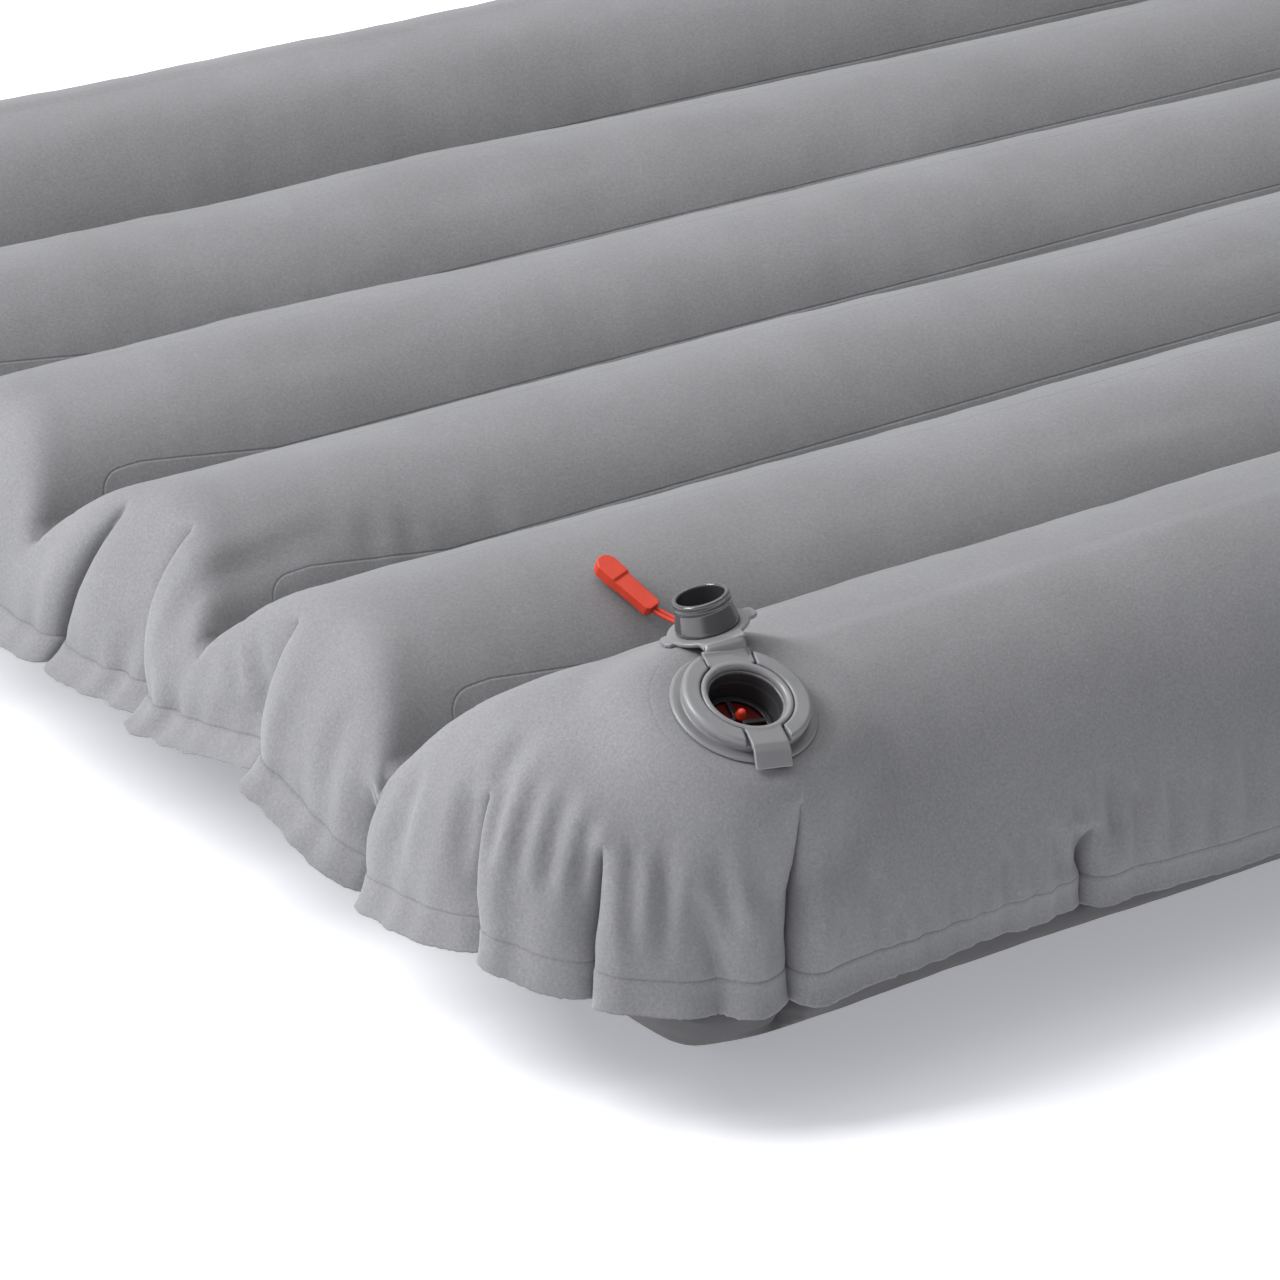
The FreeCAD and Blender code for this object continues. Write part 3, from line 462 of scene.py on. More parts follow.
edge, body = sample_plan()
NE = len(edge)
allp = np.concatenate([edge, body])
jit = rng(5).uniform(-1e-4, 1e-4, allp.shape)
jit[:NE] = 0
loop_edges = [(i, (i + 1) % NE) for i in range(NE)]
print("plan points", len(allp), "edge", NE)
import time
t_start = time.time()
out = delaunay_2d_cdt([Vector(p) for p in (allp + jit)], loop_edges, [], 1, 1e-7)
UV = np.array([tuple(v) for v in out[0]])
tris = np.array([tuple(f) for f in out[2] if len(f) == 3])
orig = out[3]
print("cdt", len(UV), len(tris), round(time.time() - t_start, 1), "s")
# which vertices are the weld line, in order
where = {}
for i, src in enumerate(orig):
    for s in src:
        where[s] = i
edge_idx = np.array([where[i] for i in range(NE)])
area2 = (UV[tris[:, 1], 0] - UV[tris[:, 0], 0]) * (UV[tris[:, 2], 1] - UV[tris[:, 0], 1]) - (UV[tris[:, 2], 0] - UV[tris[:, 0], 0]) * (UV[tris[:, 1], 1] - UV[tris[:, 0], 1])
tris[area2 < 0] = tris[area2 < 0][:, ::-1]

VB = Vector((-841.5, -266.23799, 111.07209))  # the valve flange's centre on the fabric
TILT = math.radians(24.0)
VN = np.array([0.0, -math.sin(TILT), math.cos(TILT)])


# the pull's doubled strand, route points in mm in the row frame
STRANDS = {
    "a": [(-838.62, -249.98, 120.61), (-837.25, -245.99, 121.35), (-835.01, -238.76, 119.6), (-819.63, -222.05, 116.2), (-812.7, -207.68, 110.0), (-807.24, -194.78, 101.0), (-806.09, -184.66, 96.9), (-810.23, -177.94, 99.94)],
    "b": [(-837.18, -250.48, 120.61), (-835.79, -246.46, 121.35), (-833.78, -239.66, 119.6), (-818.37, -222.95, 116.2), (-811.3, -208.32, 110.0), (-805.76, -195.22, 101.0), (-804.31, -184.34, 96.9), (-808.79, -177.56, 100.19)],
}


def strand_line(pts_):
    pts_ = np.array(pts_)
    out_ = []
    for i_ in range(1, len(pts_) - 1):
        a_ = pts_[0] if i_ == 1 else (pts_[i_ - 1] + pts_[i_]) / 2
        c_ = pts_[-1] if i_ == len(pts_) - 2 else (pts_[i_] + pts_[i_ + 1]) / 2
        for t_ in np.linspace(0, 1, 24, endpoint=False):
            out_.append((1 - t_) ** 2 * a_ + 2 * t_ * (1 - t_) * pts_[i_] + t_ ** 2 * c_)
    out_.append(pts_[-1])
    return np.array(out_)


def shaped(u, w, up):
    """The skin with its pleats, dents and small wrinkles."""
    x, y, z, he, near, rho, gx, gy = plain(u, w, up)
    P = np.stack([x, y, z], 1)
    e = 0.4
    a1 = np.stack(plain(u + e, w, up)[:3], 1) - np.stack(plain(u - e, w, up)[:3], 1)
    a2 = np.stack(plain(u, w + e, up)[:3], 1) - np.stack(plain(u, w - e, up)[:3], 1)
    N = np.cross(a1, a2)
    N /= np.maximum(np.linalg.norm(N, axis=1, keepdims=True), 1e-9)
    if not up:
        N = -N
    # the weld line itself faces outwards
    out_dir = np.stack([gx, gy, np.zeros_like(gx)], 1)
    wn = sstep(ARC - 14, ARC, rho)[:, None]
    N = N * (1 - wn) + out_dir * wn
    N /= np.maximum(np.linalg.norm(N, axis=1, keepdims=True), 1e-9)
    disp = np.zeros(len(u))
    side = np.zeros((len(u), 3))
    for i, q in enumerate(PL):
        t, s, n, ux, uy = seg_coords(u, w, q["a"], q["b"])
        m = (np.abs(s) < 40) & (t > -0.5) & (t < 1.3)
        if not m.any():
            continue
        t, s = t[m], s[m]
        # the line of a pleat isn't quite straight
        s = s - 1.1 * np.sin(np.clip(t, 0, 1) * math.pi) * (1 if i % 2 else -1)
        if up:
            D = q["depth"] * np.clip(t, 0, 1.1) ** 0.55 * sstep(-0.03, 0.10, t) * (1 - 0.38 * sstep(0.72, 1.02, t))
            soft_t = sstep(-0.25, 0.45, t)
        else:
            fade = 1 - sstep(0, 80 if i in (5, 7) else 46, (1 - t) * n)
            fade = fade * (1 - sstep(ARC - 26, ARC - 4, rho[m]))
            D = q["depth"] * fade * (0.75 if i in (5, 7) else 0.5)
            soft_t = fade
        k = q["lean"]
        if k:
            # one lip folds over, the other side runs under it in a soft ramp
            sp = s * np.sign(k)
            under = q["share"] * np.exp(-(np.abs(sp) / 2.4) ** 1.1) + (1 - q["share"]) * np.exp(-(sp / q["soft"]) ** 2) * (0.35 + 0.65 * soft_t)
            over = np.exp(-(np.abs(sp) / q["wide"]) ** 1.35)
            disp[m] -= D * np.where(sp < 0, under, over * (q["share"] + (1 - q["share"]) * (0.35 + 0.65 * soft_t)))
            disp[m] += 0.11 * D * np.exp(-((sp - 8.0) / 5.5) ** 2) * sstep(0, 2, sp)
            sh = -2.3 * np.exp(-((sp - 1.5) / 1.7) ** 2) * D / 13.0
            lat = np.stack([-uy * np.ones_like(s), ux * np.ones_like(s), np.zeros_like(s)], 1) * np.sign(k)
            side[m] += lat * sh[:, None]
        else:
            sharp = np.exp(-(np.abs(s) / q["wide"]) ** 1.6)
            soft = np.exp(-(s / q["soft"]) ** 2)
            disp[m] -= D * q["share"] * sharp + q["depth"] * (1 - q["share"]) * soft * soft_t
            disp[m] += 0.10 * D * np.exp(-((np.abs(s) - 13) / 7.0) ** 2)
    if up:
        for i, (a, b, d, hw) in enumerate(DN):
            t, s, n, ux, uy = seg_coords(u, w, a, b)
            m = (np.abs(s) < 14) & (t > -0.3) & (t < 1.3)
            disp[m] -= d * np.exp(-(s[m] / hw) ** 2) * sstep(-0.25, 0.3, t[m]) * (1 - sstep(0.7, 1.3, t[m]))
            disp[m] += 0.35 * d * np.exp(-((np.abs(s[m]) - hw * 2) / hw) ** 2) * sstep(-0.25, 0.3, t[m]) * (1 - sstep(0.7, 1.3, t[m]))
    # pressure isn't quite even: long, low swells
    ends = np.minimum(x, L - x)
    disp += 0.55 * wave_noise(np.stack([x * 0.55, y], 1), 95, 1) * sstep(0, 40, ends)
    disp += 0.16 * wave_noise(np.stack([x, y, z], 1), 26, 2)
    # short crinkles across the creases and above the weld line
    amp = wave_noise(np.stack([x, y * 0.3], 1), 120, 4)
    cr = 0.30 * np.exp(-near / 9.0) * sstep(0.0, 0.9, amp + 0.35)
    disp += cr * wave_noise(np.stack([x + near * 0.35, np.sign(y) * near * 0.2], 1), 11.0, 3)
    hum = np.exp(-np.maximum(ARC - rho, 0) / 13.0)
    along = x + np.sign(y) * 0 + np.where(ends < 60, y * 1.0, 0)
    disp += 0.75 * hum * wave_noise(np.stack([x, y], 1), 15.0, 6, n=10, spread=0.35) * (0.55 + 0.45 * wave_noise(np.stack([x, y], 1), 70, 7))
    if up:
        # corner of the valve end is a little fuller
        near_corner = np.exp(-((x - 60) / 60) ** 2 - ((np.abs(y) - 255) / 60) ** 2)
        disp += 0.5 * near_corner * wave_noise(np.stack([x, y], 1), 34, 8)
    # along the creases the skin stays on its ribs
    ribs_ = (near < 24) & (x > 64) & (x < L - 64)
    disp = np.where(ribs_, np.maximum(disp, -0.35), disp)
    P = P + N * disp[:, None] + side
    if up:
        # the fabric is welded flat to the valve's flange
        V0 = np.array([VB.x - X0, VB.y, VB.z])
        R = P - V0
        hh = R @ VN
        Q_ = R - hh[:, None] * VN
        rad = np.linalg.norm(Q_, axis=1)
        k = 1 - sstep(21.5, 44, rad)
        k = np.where(np.abs(hh) < 30, k, 0)
        P = P - (hh * k)[:, None] * VN - ((k * 0.06)[:, None] * VN)
        # the fabric gives way a little under the pull's cord, near the valve
        for pts_ in STRANDS.values():
            ln_ = strand_line(pts_) - np.array([X0, 0.0, 0.0])
            ln_ = ln_[ln_[:, 1] < -224.0]
            lo_, hi_ = ln_.min(0) - 8, ln_.max(0) + 8
            idx_ = np.nonzero((P[:, 0] > lo_[0]) & (P[:, 0] < hi_[0]) & (P[:, 1] > lo_[1]) & (P[:, 1] < hi_[1]) & (P[:, 2] > 90))[0]
            dd_ = np.linalg.norm(P[idx_, None, :2] - ln_[None, :, :2], axis=2)
            j_ = dd_.argmin(1)
            d_ = dd_[np.arange(len(idx_)), j_]
            P[idx_, 2] = np.minimum(P[idx_, 2], ln_[j_, 2] - 0.62 - 0.30 + 0.10 * d_ ** 2)
    else:
        P[:, 2] = np.maximum(P[:, 2], 0.25)
    return P, rho, near, N


def emboss(P):
    """Arc length in mm from the nearest crease and from the tube's far crease."""
    x, y = P[:, 0], P[:, 1]
    xc = np.clip(x, 0, L)
    p = 95.0 - 0.018 * xc
    r = 51.3 - 8.3 * xc / L
    ang0 = np.arcsin(np.clip(p / 2 / r, 0, 1))
    k = np.floor(y / p)
    v = y - (k + 0.5) * p  # place across the tube
    inner = np.abs(y) < 2 * p
    a = np.arcsin(np.clip(v / r, -1, 1))
    near = r * (ang0 - np.abs(a))
    far = r * (ang0 - a)
    yo = half_w(xc) - ER
    ro = np.hypot(yo - 2 * p, np.sqrt(r * r - p * p / 4))
    w = np.clip((np.abs(y) - yo) / ro, -1, 1)
    near_o = ro * (np.arcsin((yo - 2 * p) / ro * -1) * -1 + np.arcsin(w))
    near = np.where(inner, near, near_o)
    far = np.where(inner, far, np.where(y < 0, near_o, 200.0))
    return near, far


def margin_rows(P_edge, up_layer, seed):
    """The weld margin: rows of points from the weld line to the cut edge, on the front and the back."""
    n = len(P_edge)
    uv = UV[edge_idx]
    rho, gx, gy = spine_sd(uv[:, 0], uv[:, 1])
    x = P_edge[:, 0]
    ends = np.minimum(uv[:, 0] + 30, L + 30 - uv[:, 0])
    side = sstep(5, 95, ends)
    q = np.stack([uv[:, 0], uv[:, 1]], 1)
    ye = np.abs(uv[:, 1])
    e_ang = np.interp(ye, [0, 165, 186, 193, 215, 240, 262], [38, 38, 14, 10, 18, 4, 4])
    xe = np.minimum(uv[:, 0], L - uv[:, 0]) + 57 * (np.abs(gy) > 0.9)
    s_ang = np.interp(xe, [0, 110, 190], [4, 4, -14])
    ang = np.radians(np.where(np.abs(gx) > 0.5, e_ang, s_ang) + 4 * wave_noise(q, 90, seed) + 3 * wave_noise(q, 40, seed + 1))
    for _ in range(10):
        ang = (np.roll(ang, 1) + ang * 2 + np.roll(ang, -1)) / 4
    out_dir = np.stack([gx, gy, np.zeros(n)], 1)
    # smooth the notches a little towards the cut edge
    sm = P_edge.copy()
    for _ in range(3):
        sm = (np.roll(sm, 1, 0) + sm * 2 + np.roll(sm, -1, 0)) / 4
    sm2 = sm.copy()
    for _ in range(6):
        sm2 = (np.roll(sm2, 1, 0) + sm2 * 2 + np.roll(sm2, -1, 0)) / 4
    rows, faces_n = [], []
    width = 10.4 - 1.0 * (np.abs(gy) > 0.97) + 0.4 * wave_noise(q, 60, seed + 3)
    for _ in range(10):
        width = (np.roll(width, 1) + width * 2 + np.roll(width, -1)) / 4
    if not up_layer:
        width = width - 0.35
    fray = 0.16 * wave_noise(q, 2.6, seed + 4) + 0.10 * wave_noise(q, 1.4, seed + 5)
    steps = [0.0, 0.05, 0.10, 0.2, 0.35, 0.55, 0.78, 0.94, 1.0]
    for t in steps:
        bend = ang + np.radians(16) * (t - 0.4)
        dvec = out_dir * np.sin(bend)[:, None] - np.array([0, 0, 1.0]) * np.cos(bend)[:, None]
        basep = P_edge * (1 - 0.35 * t) + sm * 0.35 * t
        ln = width * t + (fray if t > 0.9 else 0)
        rip = 0.22 * t * wave_noise(q, 19, seed + 6)
        row = basep + dvec * ln[:, None] + out_dir * rip[:, None]
        # the weld presses a shallow step along the line
        step = 0.38 * sstep(0.03, 0.12, np.array([t]))[0]
        tan = np.roll(sm2, -1, 0) - np.roll(sm2, 1, 0)
        face = np.cross(tan, dvec)
        face /= np.maximum(np.linalg.norm(face, axis=1, keepdims=True), 1e-9)
        face *= np.sign(np.sum(face * out_dir, 1, keepdims=True))
        row = row + face * (step if up_layer else step - 0.50 * sstep(0, 0.1, np.array([t]))[0])
        rows.append(row)
        faces_n.append(face)
    return rows, steps, faces_n


def build_sheet(name, up):
    P, rho, near, N = shaped(UV[:, 0], UV[:, 1], up)
    if not up:
        # the two skins meet in one line, and the lower one follows its notches for a short way
        d_edge = TOP_EDGE - P[edge_idx]
        tree = KDTree(NE)
        for i_, j_ in enumerate(edge_idx):
            tree.insert((UV[j_, 0], UV[j_, 1], 0.0), i_)
        tree.balance()
        for j_ in np.nonzero(rho > ARC - 30)[0]:
            k_ = tree.find((UV[j_, 0], UV[j_, 1], 0.0))[1]
            P[j_] += d_edge[k_] * float(sstep(ARC - 30, ARC - 3, rho[j_]))
        _, gx_, gy_ = spine_sd(UV[:, 0], UV[:, 1])
        tuck = 2.2 * sstep(ARC - 22, ARC - 9, rho) * (1 - sstep(ARC - 1.2, ARC, rho))
        P[:, 0] -= gx_ * tuck
        P[:, 1] -= gy_ * tuck
        P[edge_idx] = TOP_EDGE
    V0 = np.array([VB.x - X0, VB.y, VB.z])
    faces = tris if up else tris[:, ::-1]
    if up:
        R = P - V0
        hh = R @ VN
        rad = np.linalg.norm(R - hh[:, None] * VN, axis=1)
        gone = (rad < 14.6) & (np.abs(hh) < 8)
        faces = faces[~gone[faces].any(1)]
    em, ef = emboss(np.stack(plain(UV[:, 0], UV[:, 1], up)[:3], 1))
    V0_ = np.array([VB.x - X0, VB.y, VB.z])
    R_ = P - V0_
    h_ = R_ @ VN
    vr = np.where((np.abs(h_) < 25) & up, np.linalg.norm(R_ - h_[:, None] * VN, axis=1), 200.0)
    n_m = NE * (2 * 8)
    rows, steps, faces_n = margin_rows(P[edge_idx], up, 40)
    verts = [P]
    mar = [np.clip(rho - ARC, -40, 0)]
    emb = [em]
    base = len(P)
    idx_rows = [edge_idx]
    for r, t in zip(rows[1:], steps[1:]):
        verts.append(r)
        mar.append(np.full(NE, 11.0 * t))
        emb.append(np.full(NE, 200.0))
        idx_rows.append(np.arange(base, base + NE))
        base += NE
    # back of the margin, a layer's thickness behind
    back = []
    for r, t, fn in list(zip(rows[1:], steps[1:], faces_n[1:]))[::-1]:
        verts.append(r - fn * 0.34)
        mar.append(np.full(NE, 11.0 * t))
        emb.append(np.full(NE, 200.0))
        back.append(np.arange(base, base + NE))
        base += NE
    idx_rows += back
    q = []
    for a, b in zip(idx_rows[:-1], idx_rows[1:]):
        a2, b2 = np.roll(a, -1), np.roll(b, -1)
        f = np.stack([a, b, b2, a2], 1)
        q.append(f)
    quads = np.concatenate(q)
    # which way round the weld line runs
    s = 0.0
    e = UV[edge_idx]
    s = np.sum(e[:, 0] * np.roll(e[:, 1], -1) - np.roll(e[:, 0], -1) * e[:, 1])
    if s < 0:
        quads = quads[:, ::-1]
    V = np.concatenate(verts)
    V = (V + np.array([X0, 0, 0])) * MM
    # drop the points that no face uses
    fl = [tuple(map(int, f)) for f in faces] + [tuple(map(int, f)) for f in quads]
    used = np.zeros(len(V), bool)
    used[faces.ravel()] = True
    used[quads.ravel()] = True
    new = np.cumsum(used) - 1
    fl = [tuple(int(new[i]) for i in f) for f in fl]
    ob = new_mesh(name, V[used], fl)
    far_ = np.concatenate([ef, np.full(len(V) - len(ef), 200.0)])
    vr_ = np.concatenate([vr, np.full(len(V) - len(vr), 200.0)])
    xx_ = np.minimum(V[:, 0] / MM - X0, L - (V[:, 0] / MM - X0))
    for nm, arr in (("weldline", np.concatenate(mar)[used]), ("arc_near", np.concatenate(emb)[used]), ("arc_far", far_[used]), ("valve_r", vr_[used]), ("end_x", xx_[used])):
        at = ob.data.attributes.new(nm, "FLOAT", "POINT")
        at.data.foreach_set("value", arr.astype(np.float32))
    return ob, P[edge_idx]


top_sheet, TOP_EDGE = build_sheet("top_fabric_sheet", True)
bottom_sheet, _ = build_sheet("bottom_fabric_sheet", False)
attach(top_sheet, "pad")
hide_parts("top_sheet")
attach(bottom_sheet, "pad")
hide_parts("bottom_sheet")
print("sheets", round(time.time() - t_start, 1), "s")


# ------------------------------------------------------------------ materials
def mat(name):
    m = bpy.data.materials.new(name)
    m.use_nodes = True
    nt = m.node_tree
    nt.nodes.clear()
    o = nt.nodes.new("ShaderNodeOutputMaterial")
    b = nt.nodes.new("ShaderNodeBsdfPrincipled")
    nt.links.new(b.outputs[0], o.inputs[0])
    return m, nt, b


def noise(nt, vec, scale, detail=2.0, rough=0.5, dist=0.0):
    n = nt.nodes.new("ShaderNodeTexNoise")
    n.inputs["Scale"].default_value = scale
    n.inputs["Detail"].default_value = detail
    n.inputs["Roughness"].default_value = rough
    n.inputs["Distortion"].default_value = dist
    nt.links.new(vec, n.inputs["Vector"])
    return n.outputs["Fac"]


def mapped(nt, scale=(1, 1, 1), rot=(0, 0, 0)):
    t = nt.nodes.new("ShaderNodeTexCoord")
    mp = nt.nodes.new("ShaderNodeMapping")
    mp.inputs["Scale"].default_value = scale
    mp.inputs["Rotation"].default_value = rot
    nt.links.new(t.outputs["Object"], mp.inputs["Vector"])
    return mp.outputs["Vector"]


def math_(nt, op, a, b=None, clamp=False):
    n = nt.nodes.new("ShaderNodeMath")
    n.operation = op
    n.use_clamp = clamp
    for i, v in enumerate((a, b)):
        if v is None:
            continue
        if isinstance(v, (int, float)):
            n.inputs[i].default_value = v
        else:
            nt.links.new(v, n.inputs[i])
    return n.outputs[0]


def ramp(nt, fac, stops):
    n = nt.nodes.new("ShaderNodeValToRGB")
    while len(n.color_ramp.elements) < len(stops):
        n.color_ramp.elements.new(0.5)
    for e, (p, c) in zip(n.color_ramp.elements, stops):
        e.position = p
        e.color = (*c, 1) if len(c) == 3 else c
    nt.links.new(fac, n.inputs["Fac"])
    return n.outputs["Color"]


def bump(nt, b, height, strength, dist, normal=None):
    n = nt.nodes.new("ShaderNodeBump")
    n.inputs["Strength"].default_value = strength
    n.inputs["Distance"].default_value = dist
    nt.links.new(height, n.inputs["Height"])
    if normal is not None:
        nt.links.new(normal, n.inputs["Normal"])
    nt.links.new(n.outputs["Normal"], b.inputs["Normal"])
    return n.outputs["Normal"]


def fabric(name, lo, mid, hi, rough=0.72, sheen=0.25):
    m, nt, b = mat(name)
    v = mapped(nt)
    fine = noise(nt, v, 2600.0, 2.0, 0.6)
    speck = noise(nt, v, 1150.0, 3.0, 0.6)
    broad = noise(nt, v, 22.0, 3.0, 0.5)
    f = math_(nt, "ADD", math_(nt, "MULTIPLY", speck, 0.46), math_(nt, "MULTIPLY", fine, 0.30))
    f = math_(nt, "ADD", f, math_(nt, "MULTIPLY", broad, 0.24))
    col = ramp(nt, f, [(0.30, lo), (0.5, mid), (0.70, hi)])

    def attr(n_):
        at = nt.nodes.new("ShaderNodeAttribute")
        at.attribute_name = n_
        return at.outputs["Fac"]

    def near_(val, at_, half):
        d_ = math_(nt, "ABSOLUTE", math_(nt, "SUBTRACT", val, at_))
        return math_(nt, "SUBTRACT", 1.0, math_(nt, "DIVIDE", d_, half), True)

    # painted shade: the weld line's shallow groove is also drawn as a thin darker line in the colour
    line = near_(attr("weldline"), 0.2, 0.55)
    # rib feet: long strips with round ends beside each crease, painted as darker lines of shade
    arc, far, ex = attr("arc_near"), attr("arc_far"), attr("end_x")
    qx = math_(nt, "MAXIMUM", math_(nt, "SUBTRACT", 43.0, ex), 0.0)
    grow = math_(nt, "MULTIPLY", math_(nt, "DIVIDE", math_(nt, "SUBTRACT", ex, 50.0), 45.0, True), 6.5)
    qy = math_(nt, "MAXIMUM", math_(nt, "SUBTRACT", math_(nt, "ADD", arc, grow), 10.5), 0.0)
    rr_ = math_(nt, "SQRT", math_(nt, "ADD", math_(nt, "MULTIPLY", qx, qx), math_(nt, "MULTIPLY", qy, qy)))
    strip = near_(rr_, 8.0, 0.55)
    # painted shade: the edge of the valve's weld patch is drawn as a faint darker ring
    patch_ = near_(attr("valve_r"), 25.6, 0.6)
    # one edge of a wider weld, far side of each tube, painted as a darker line of shade
    lq = near_(far, 48.0, 0.50)
    lq = math_(nt, "MULTIPLY", lq, math_(nt, "GREATER_THAN", ex, 62.0))
    e1 = math_(nt, "MAXIMUM", math_(nt, "MAXIMUM", strip, math_(nt, "MULTIPLY", patch_, 0.35)), math_(nt, "MULTIPLY", lq, 0.8))
    # painted shade: the weld line, the rib feet, the valve patch's edge and the far weld edge are multiplied darker
    # in the colour
    painted_shade_mix = nt.nodes.new("ShaderNodeMix")
    painted_shade_mix.data_type = "RGBA"
    painted_shade_mix.blend_type = "MULTIPLY"
    nt.links.new(math_(nt, "ADD", math_(nt, "MULTIPLY", line, 0.26), math_(nt, "MULTIPLY", e1, 0.11)), painted_shade_mix.inputs["Factor"])
    nt.links.new(col, painted_shade_mix.inputs["A"])
    painted_shade_mix.inputs["B"].default_value = (0.35, 0.35, 0.37, 1)
    nt.links.new(painted_shade_mix.outputs["Result"], b.inputs["Base Color"])
    b.inputs["Roughness"].default_value = rough
    b.inputs["Sheen Weight"].default_value = sheen
    b.inputs["Sheen Roughness"].default_value = 0.5
    b.inputs["Specular IOR Level"].default_value = 0.32
    # woven threads, both ways
    w1 = nt.nodes.new("ShaderNodeTexWave")
    w1.bands_direction = "X"
    w1.inputs["Scale"].default_value = 330.0
    w1.inputs["Distortion"].default_value = 0.6
    w2 = nt.nodes.new("ShaderNodeTexWave")
    w2.bands_direction = "Y"
    w2.inputs["Scale"].default_value = 330.0
    w2.inputs["Distortion"].default_value = 0.6
    nt.links.new(v, w1.inputs["Vector"])
    nt.links.new(v, w2.inputs["Vector"])
    weave = math_(nt, "MULTIPLY", w1.outputs["Fac"], w2.outputs["Fac"])
    h = math_(nt, "ADD", math_(nt, "MULTIPLY", weave, 0.35), math_(nt, "MULTIPLY", speck, 0.8))
    n1 = bump(nt, b, h, 0.30, 0.00012)
    ridge = math_(nt, "SUBTRACT", math_(nt, "MULTIPLY", e1, -1.0), line)
    bump(nt, b, ridge, 0.55, 0.0003, n1)
    return m


top_mat = fabric("top_fabric_grey", (0.150, 0.150, 0.156), (0.200, 0.200, 0.208), (0.262, 0.262, 0.271))
bottom_mat = fabric("bottom_fabric_dark", (0.017, 0.0155, 0.018), (0.026, 0.0235, 0.0275), (0.038, 0.034, 0.040), 0.7, 0.2)
top_sheet.data.materials.append(top_mat)
bottom_sheet.data.materials.append(bottom_mat)


def plastic(name, lo, hi, rough, spec=0.5, trans=0.0, sss=0.0, coat=0.0, grain=900.0, depth=0.00005, strength=0.25):
    m, nt, b = mat(name)
    v = mapped(nt)
    n1 = noise(nt, v, 60.0, 4.0, 0.55)
    nt.links.new(ramp(nt, n1, [(0.3, lo), (0.7, hi)]), b.inputs["Base Color"])
    n2 = noise(nt, v, grain, 3.0, 0.6)
    r = nt.nodes.new("ShaderNodeMapRange")
    r.inputs["To Min"].default_value = rough * 0.85
    r.inputs["To Max"].default_value = rough * 1.2
    nt.links.new(n1, r.inputs["Value"])
    nt.links.new(r.outputs["Result"], b.inputs["Roughness"])
    bump(nt, b, n2, strength, depth)
    b.inputs["Specular IOR Level"].default_value = spec
    if sss:
        b.inputs["Subsurface Weight"].default_value = sss
        b.inputs["Subsurface Radius"].default_value = (1.0, 0.9, 0.9)
        b.inputs["Subsurface Scale"].default_value = 0.0012
    if coat:
        b.inputs["Coat Weight"].default_value = coat
        b.inputs["Coat Roughness"].default_value = 0.12
    return m


valve_mat = plastic("valve_soft_grey", (0.185, 0.185, 0.192), (0.215, 0.215, 0.222), 0.36, 0.5, sss=0.25)
strap_mat = plastic("strap_soft_grey", (0.200, 0.198, 0.206), (0.235, 0.232, 0.240), 0.34, 0.5, sss=0.35)
plug_mat = plastic("plug_gloss_grey", (0.050, 0.047, 0.050), (0.066, 0.061, 0.064), 0.13, 0.6, coat=0.6, depth=0.00002, strength=0.1)
# painted shade: a near-black material for the inside of the valve's throat, where shade falls in the hole
throat_shade_mat = plastic("throat_dark", (0.030, 0.030, 0.032), (0.045, 0.045, 0.048), 0.28, 0.5)
seal_mat = plastic("seal_black", (0.02, 0.02, 0.02), (0.035, 0.035, 0.035), 0.5)
red_mat = plastic("flap_red", (0.62, 0.030, 0.012), (0.78, 0.050, 0.020), 0.4, 0.5, sss=0.2)
# painted shade: a much darker red for the flap's membrane deep in the throat
flap_shade_red = plastic("flap_red_painted_shade", (0.115, 0.005, 0.003), (0.160, 0.007, 0.004), 0.4, 0.5)
braid_mat = plastic("cord_braid_orange", (0.42, 0.028, 0.014), (0.58, 0.046, 0.022), 0.6, 0.4, grain=2600.0, depth=0.00012, strength=0.8)
pull_mat = plastic("pull_orange", (0.56, 0.040, 0.016), (0.68, 0.058, 0.024), 0.42, 0.45, sss=0.15, grain=500.0, depth=0.00008, strength=0.3)
film_mat = plastic("rib_film", (0.42, 0.42, 0.43), (0.52, 0.52, 0.53), 0.45)
floor_mat, nt, b = mat("floor_pale")
v = mapped(nt)
nt.links.new(ramp(nt, noise(nt, v, 3.0, 2.0), [(0.0, (0.86, 0.865, 0.88)), (1.0, (0.88, 0.885, 0.90))]), b.inputs["Base Color"])
b.inputs["Roughness"].default_value = 0.9
b.inputs["Emission Color"].default_value = (0.93, 0.94, 1.0, 1)
b.inputs["Emission Strength"].default_value = 0.34


# ------------------------------------------------------------------ valve, from the CAD pieces with moulded edges
def moulded(node, name, body, material, voxel=0.00030, smooth=5, factor=0.5):
    src = frame["nodes"][node]
    me = src.data.copy()
    bm = bmesh.new()
    bm.from_mesh(me)
    bm.transform(src.matrix_world)
    bmesh.ops.remove_doubles(bm, verts=bm.verts, dist=2e-6)
    bm.to_mesh(me)
    bm.free()
    me.materials.clear()
    ob = bpy.data.objects.new(name, me)
    scene.collection.objects.link(ob)
    r = ob.modifiers.new("r", "REMESH")
    r.mode = "VOXEL"
    r.voxel_size = voxel
    r.use_smooth_shade = True
    s = ob.modifiers.new("s", "SMOOTH")
    s.factor = factor
    s.iterations = smooth
    apply_mods(ob)
    ob.data.polygons.foreach_set("use_smooth", [True] * len(ob.data.polygons))
    ob.data.materials.clear()
    ob.data.materials.append(material)
    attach(ob, body)
    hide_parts(node)
    return ob


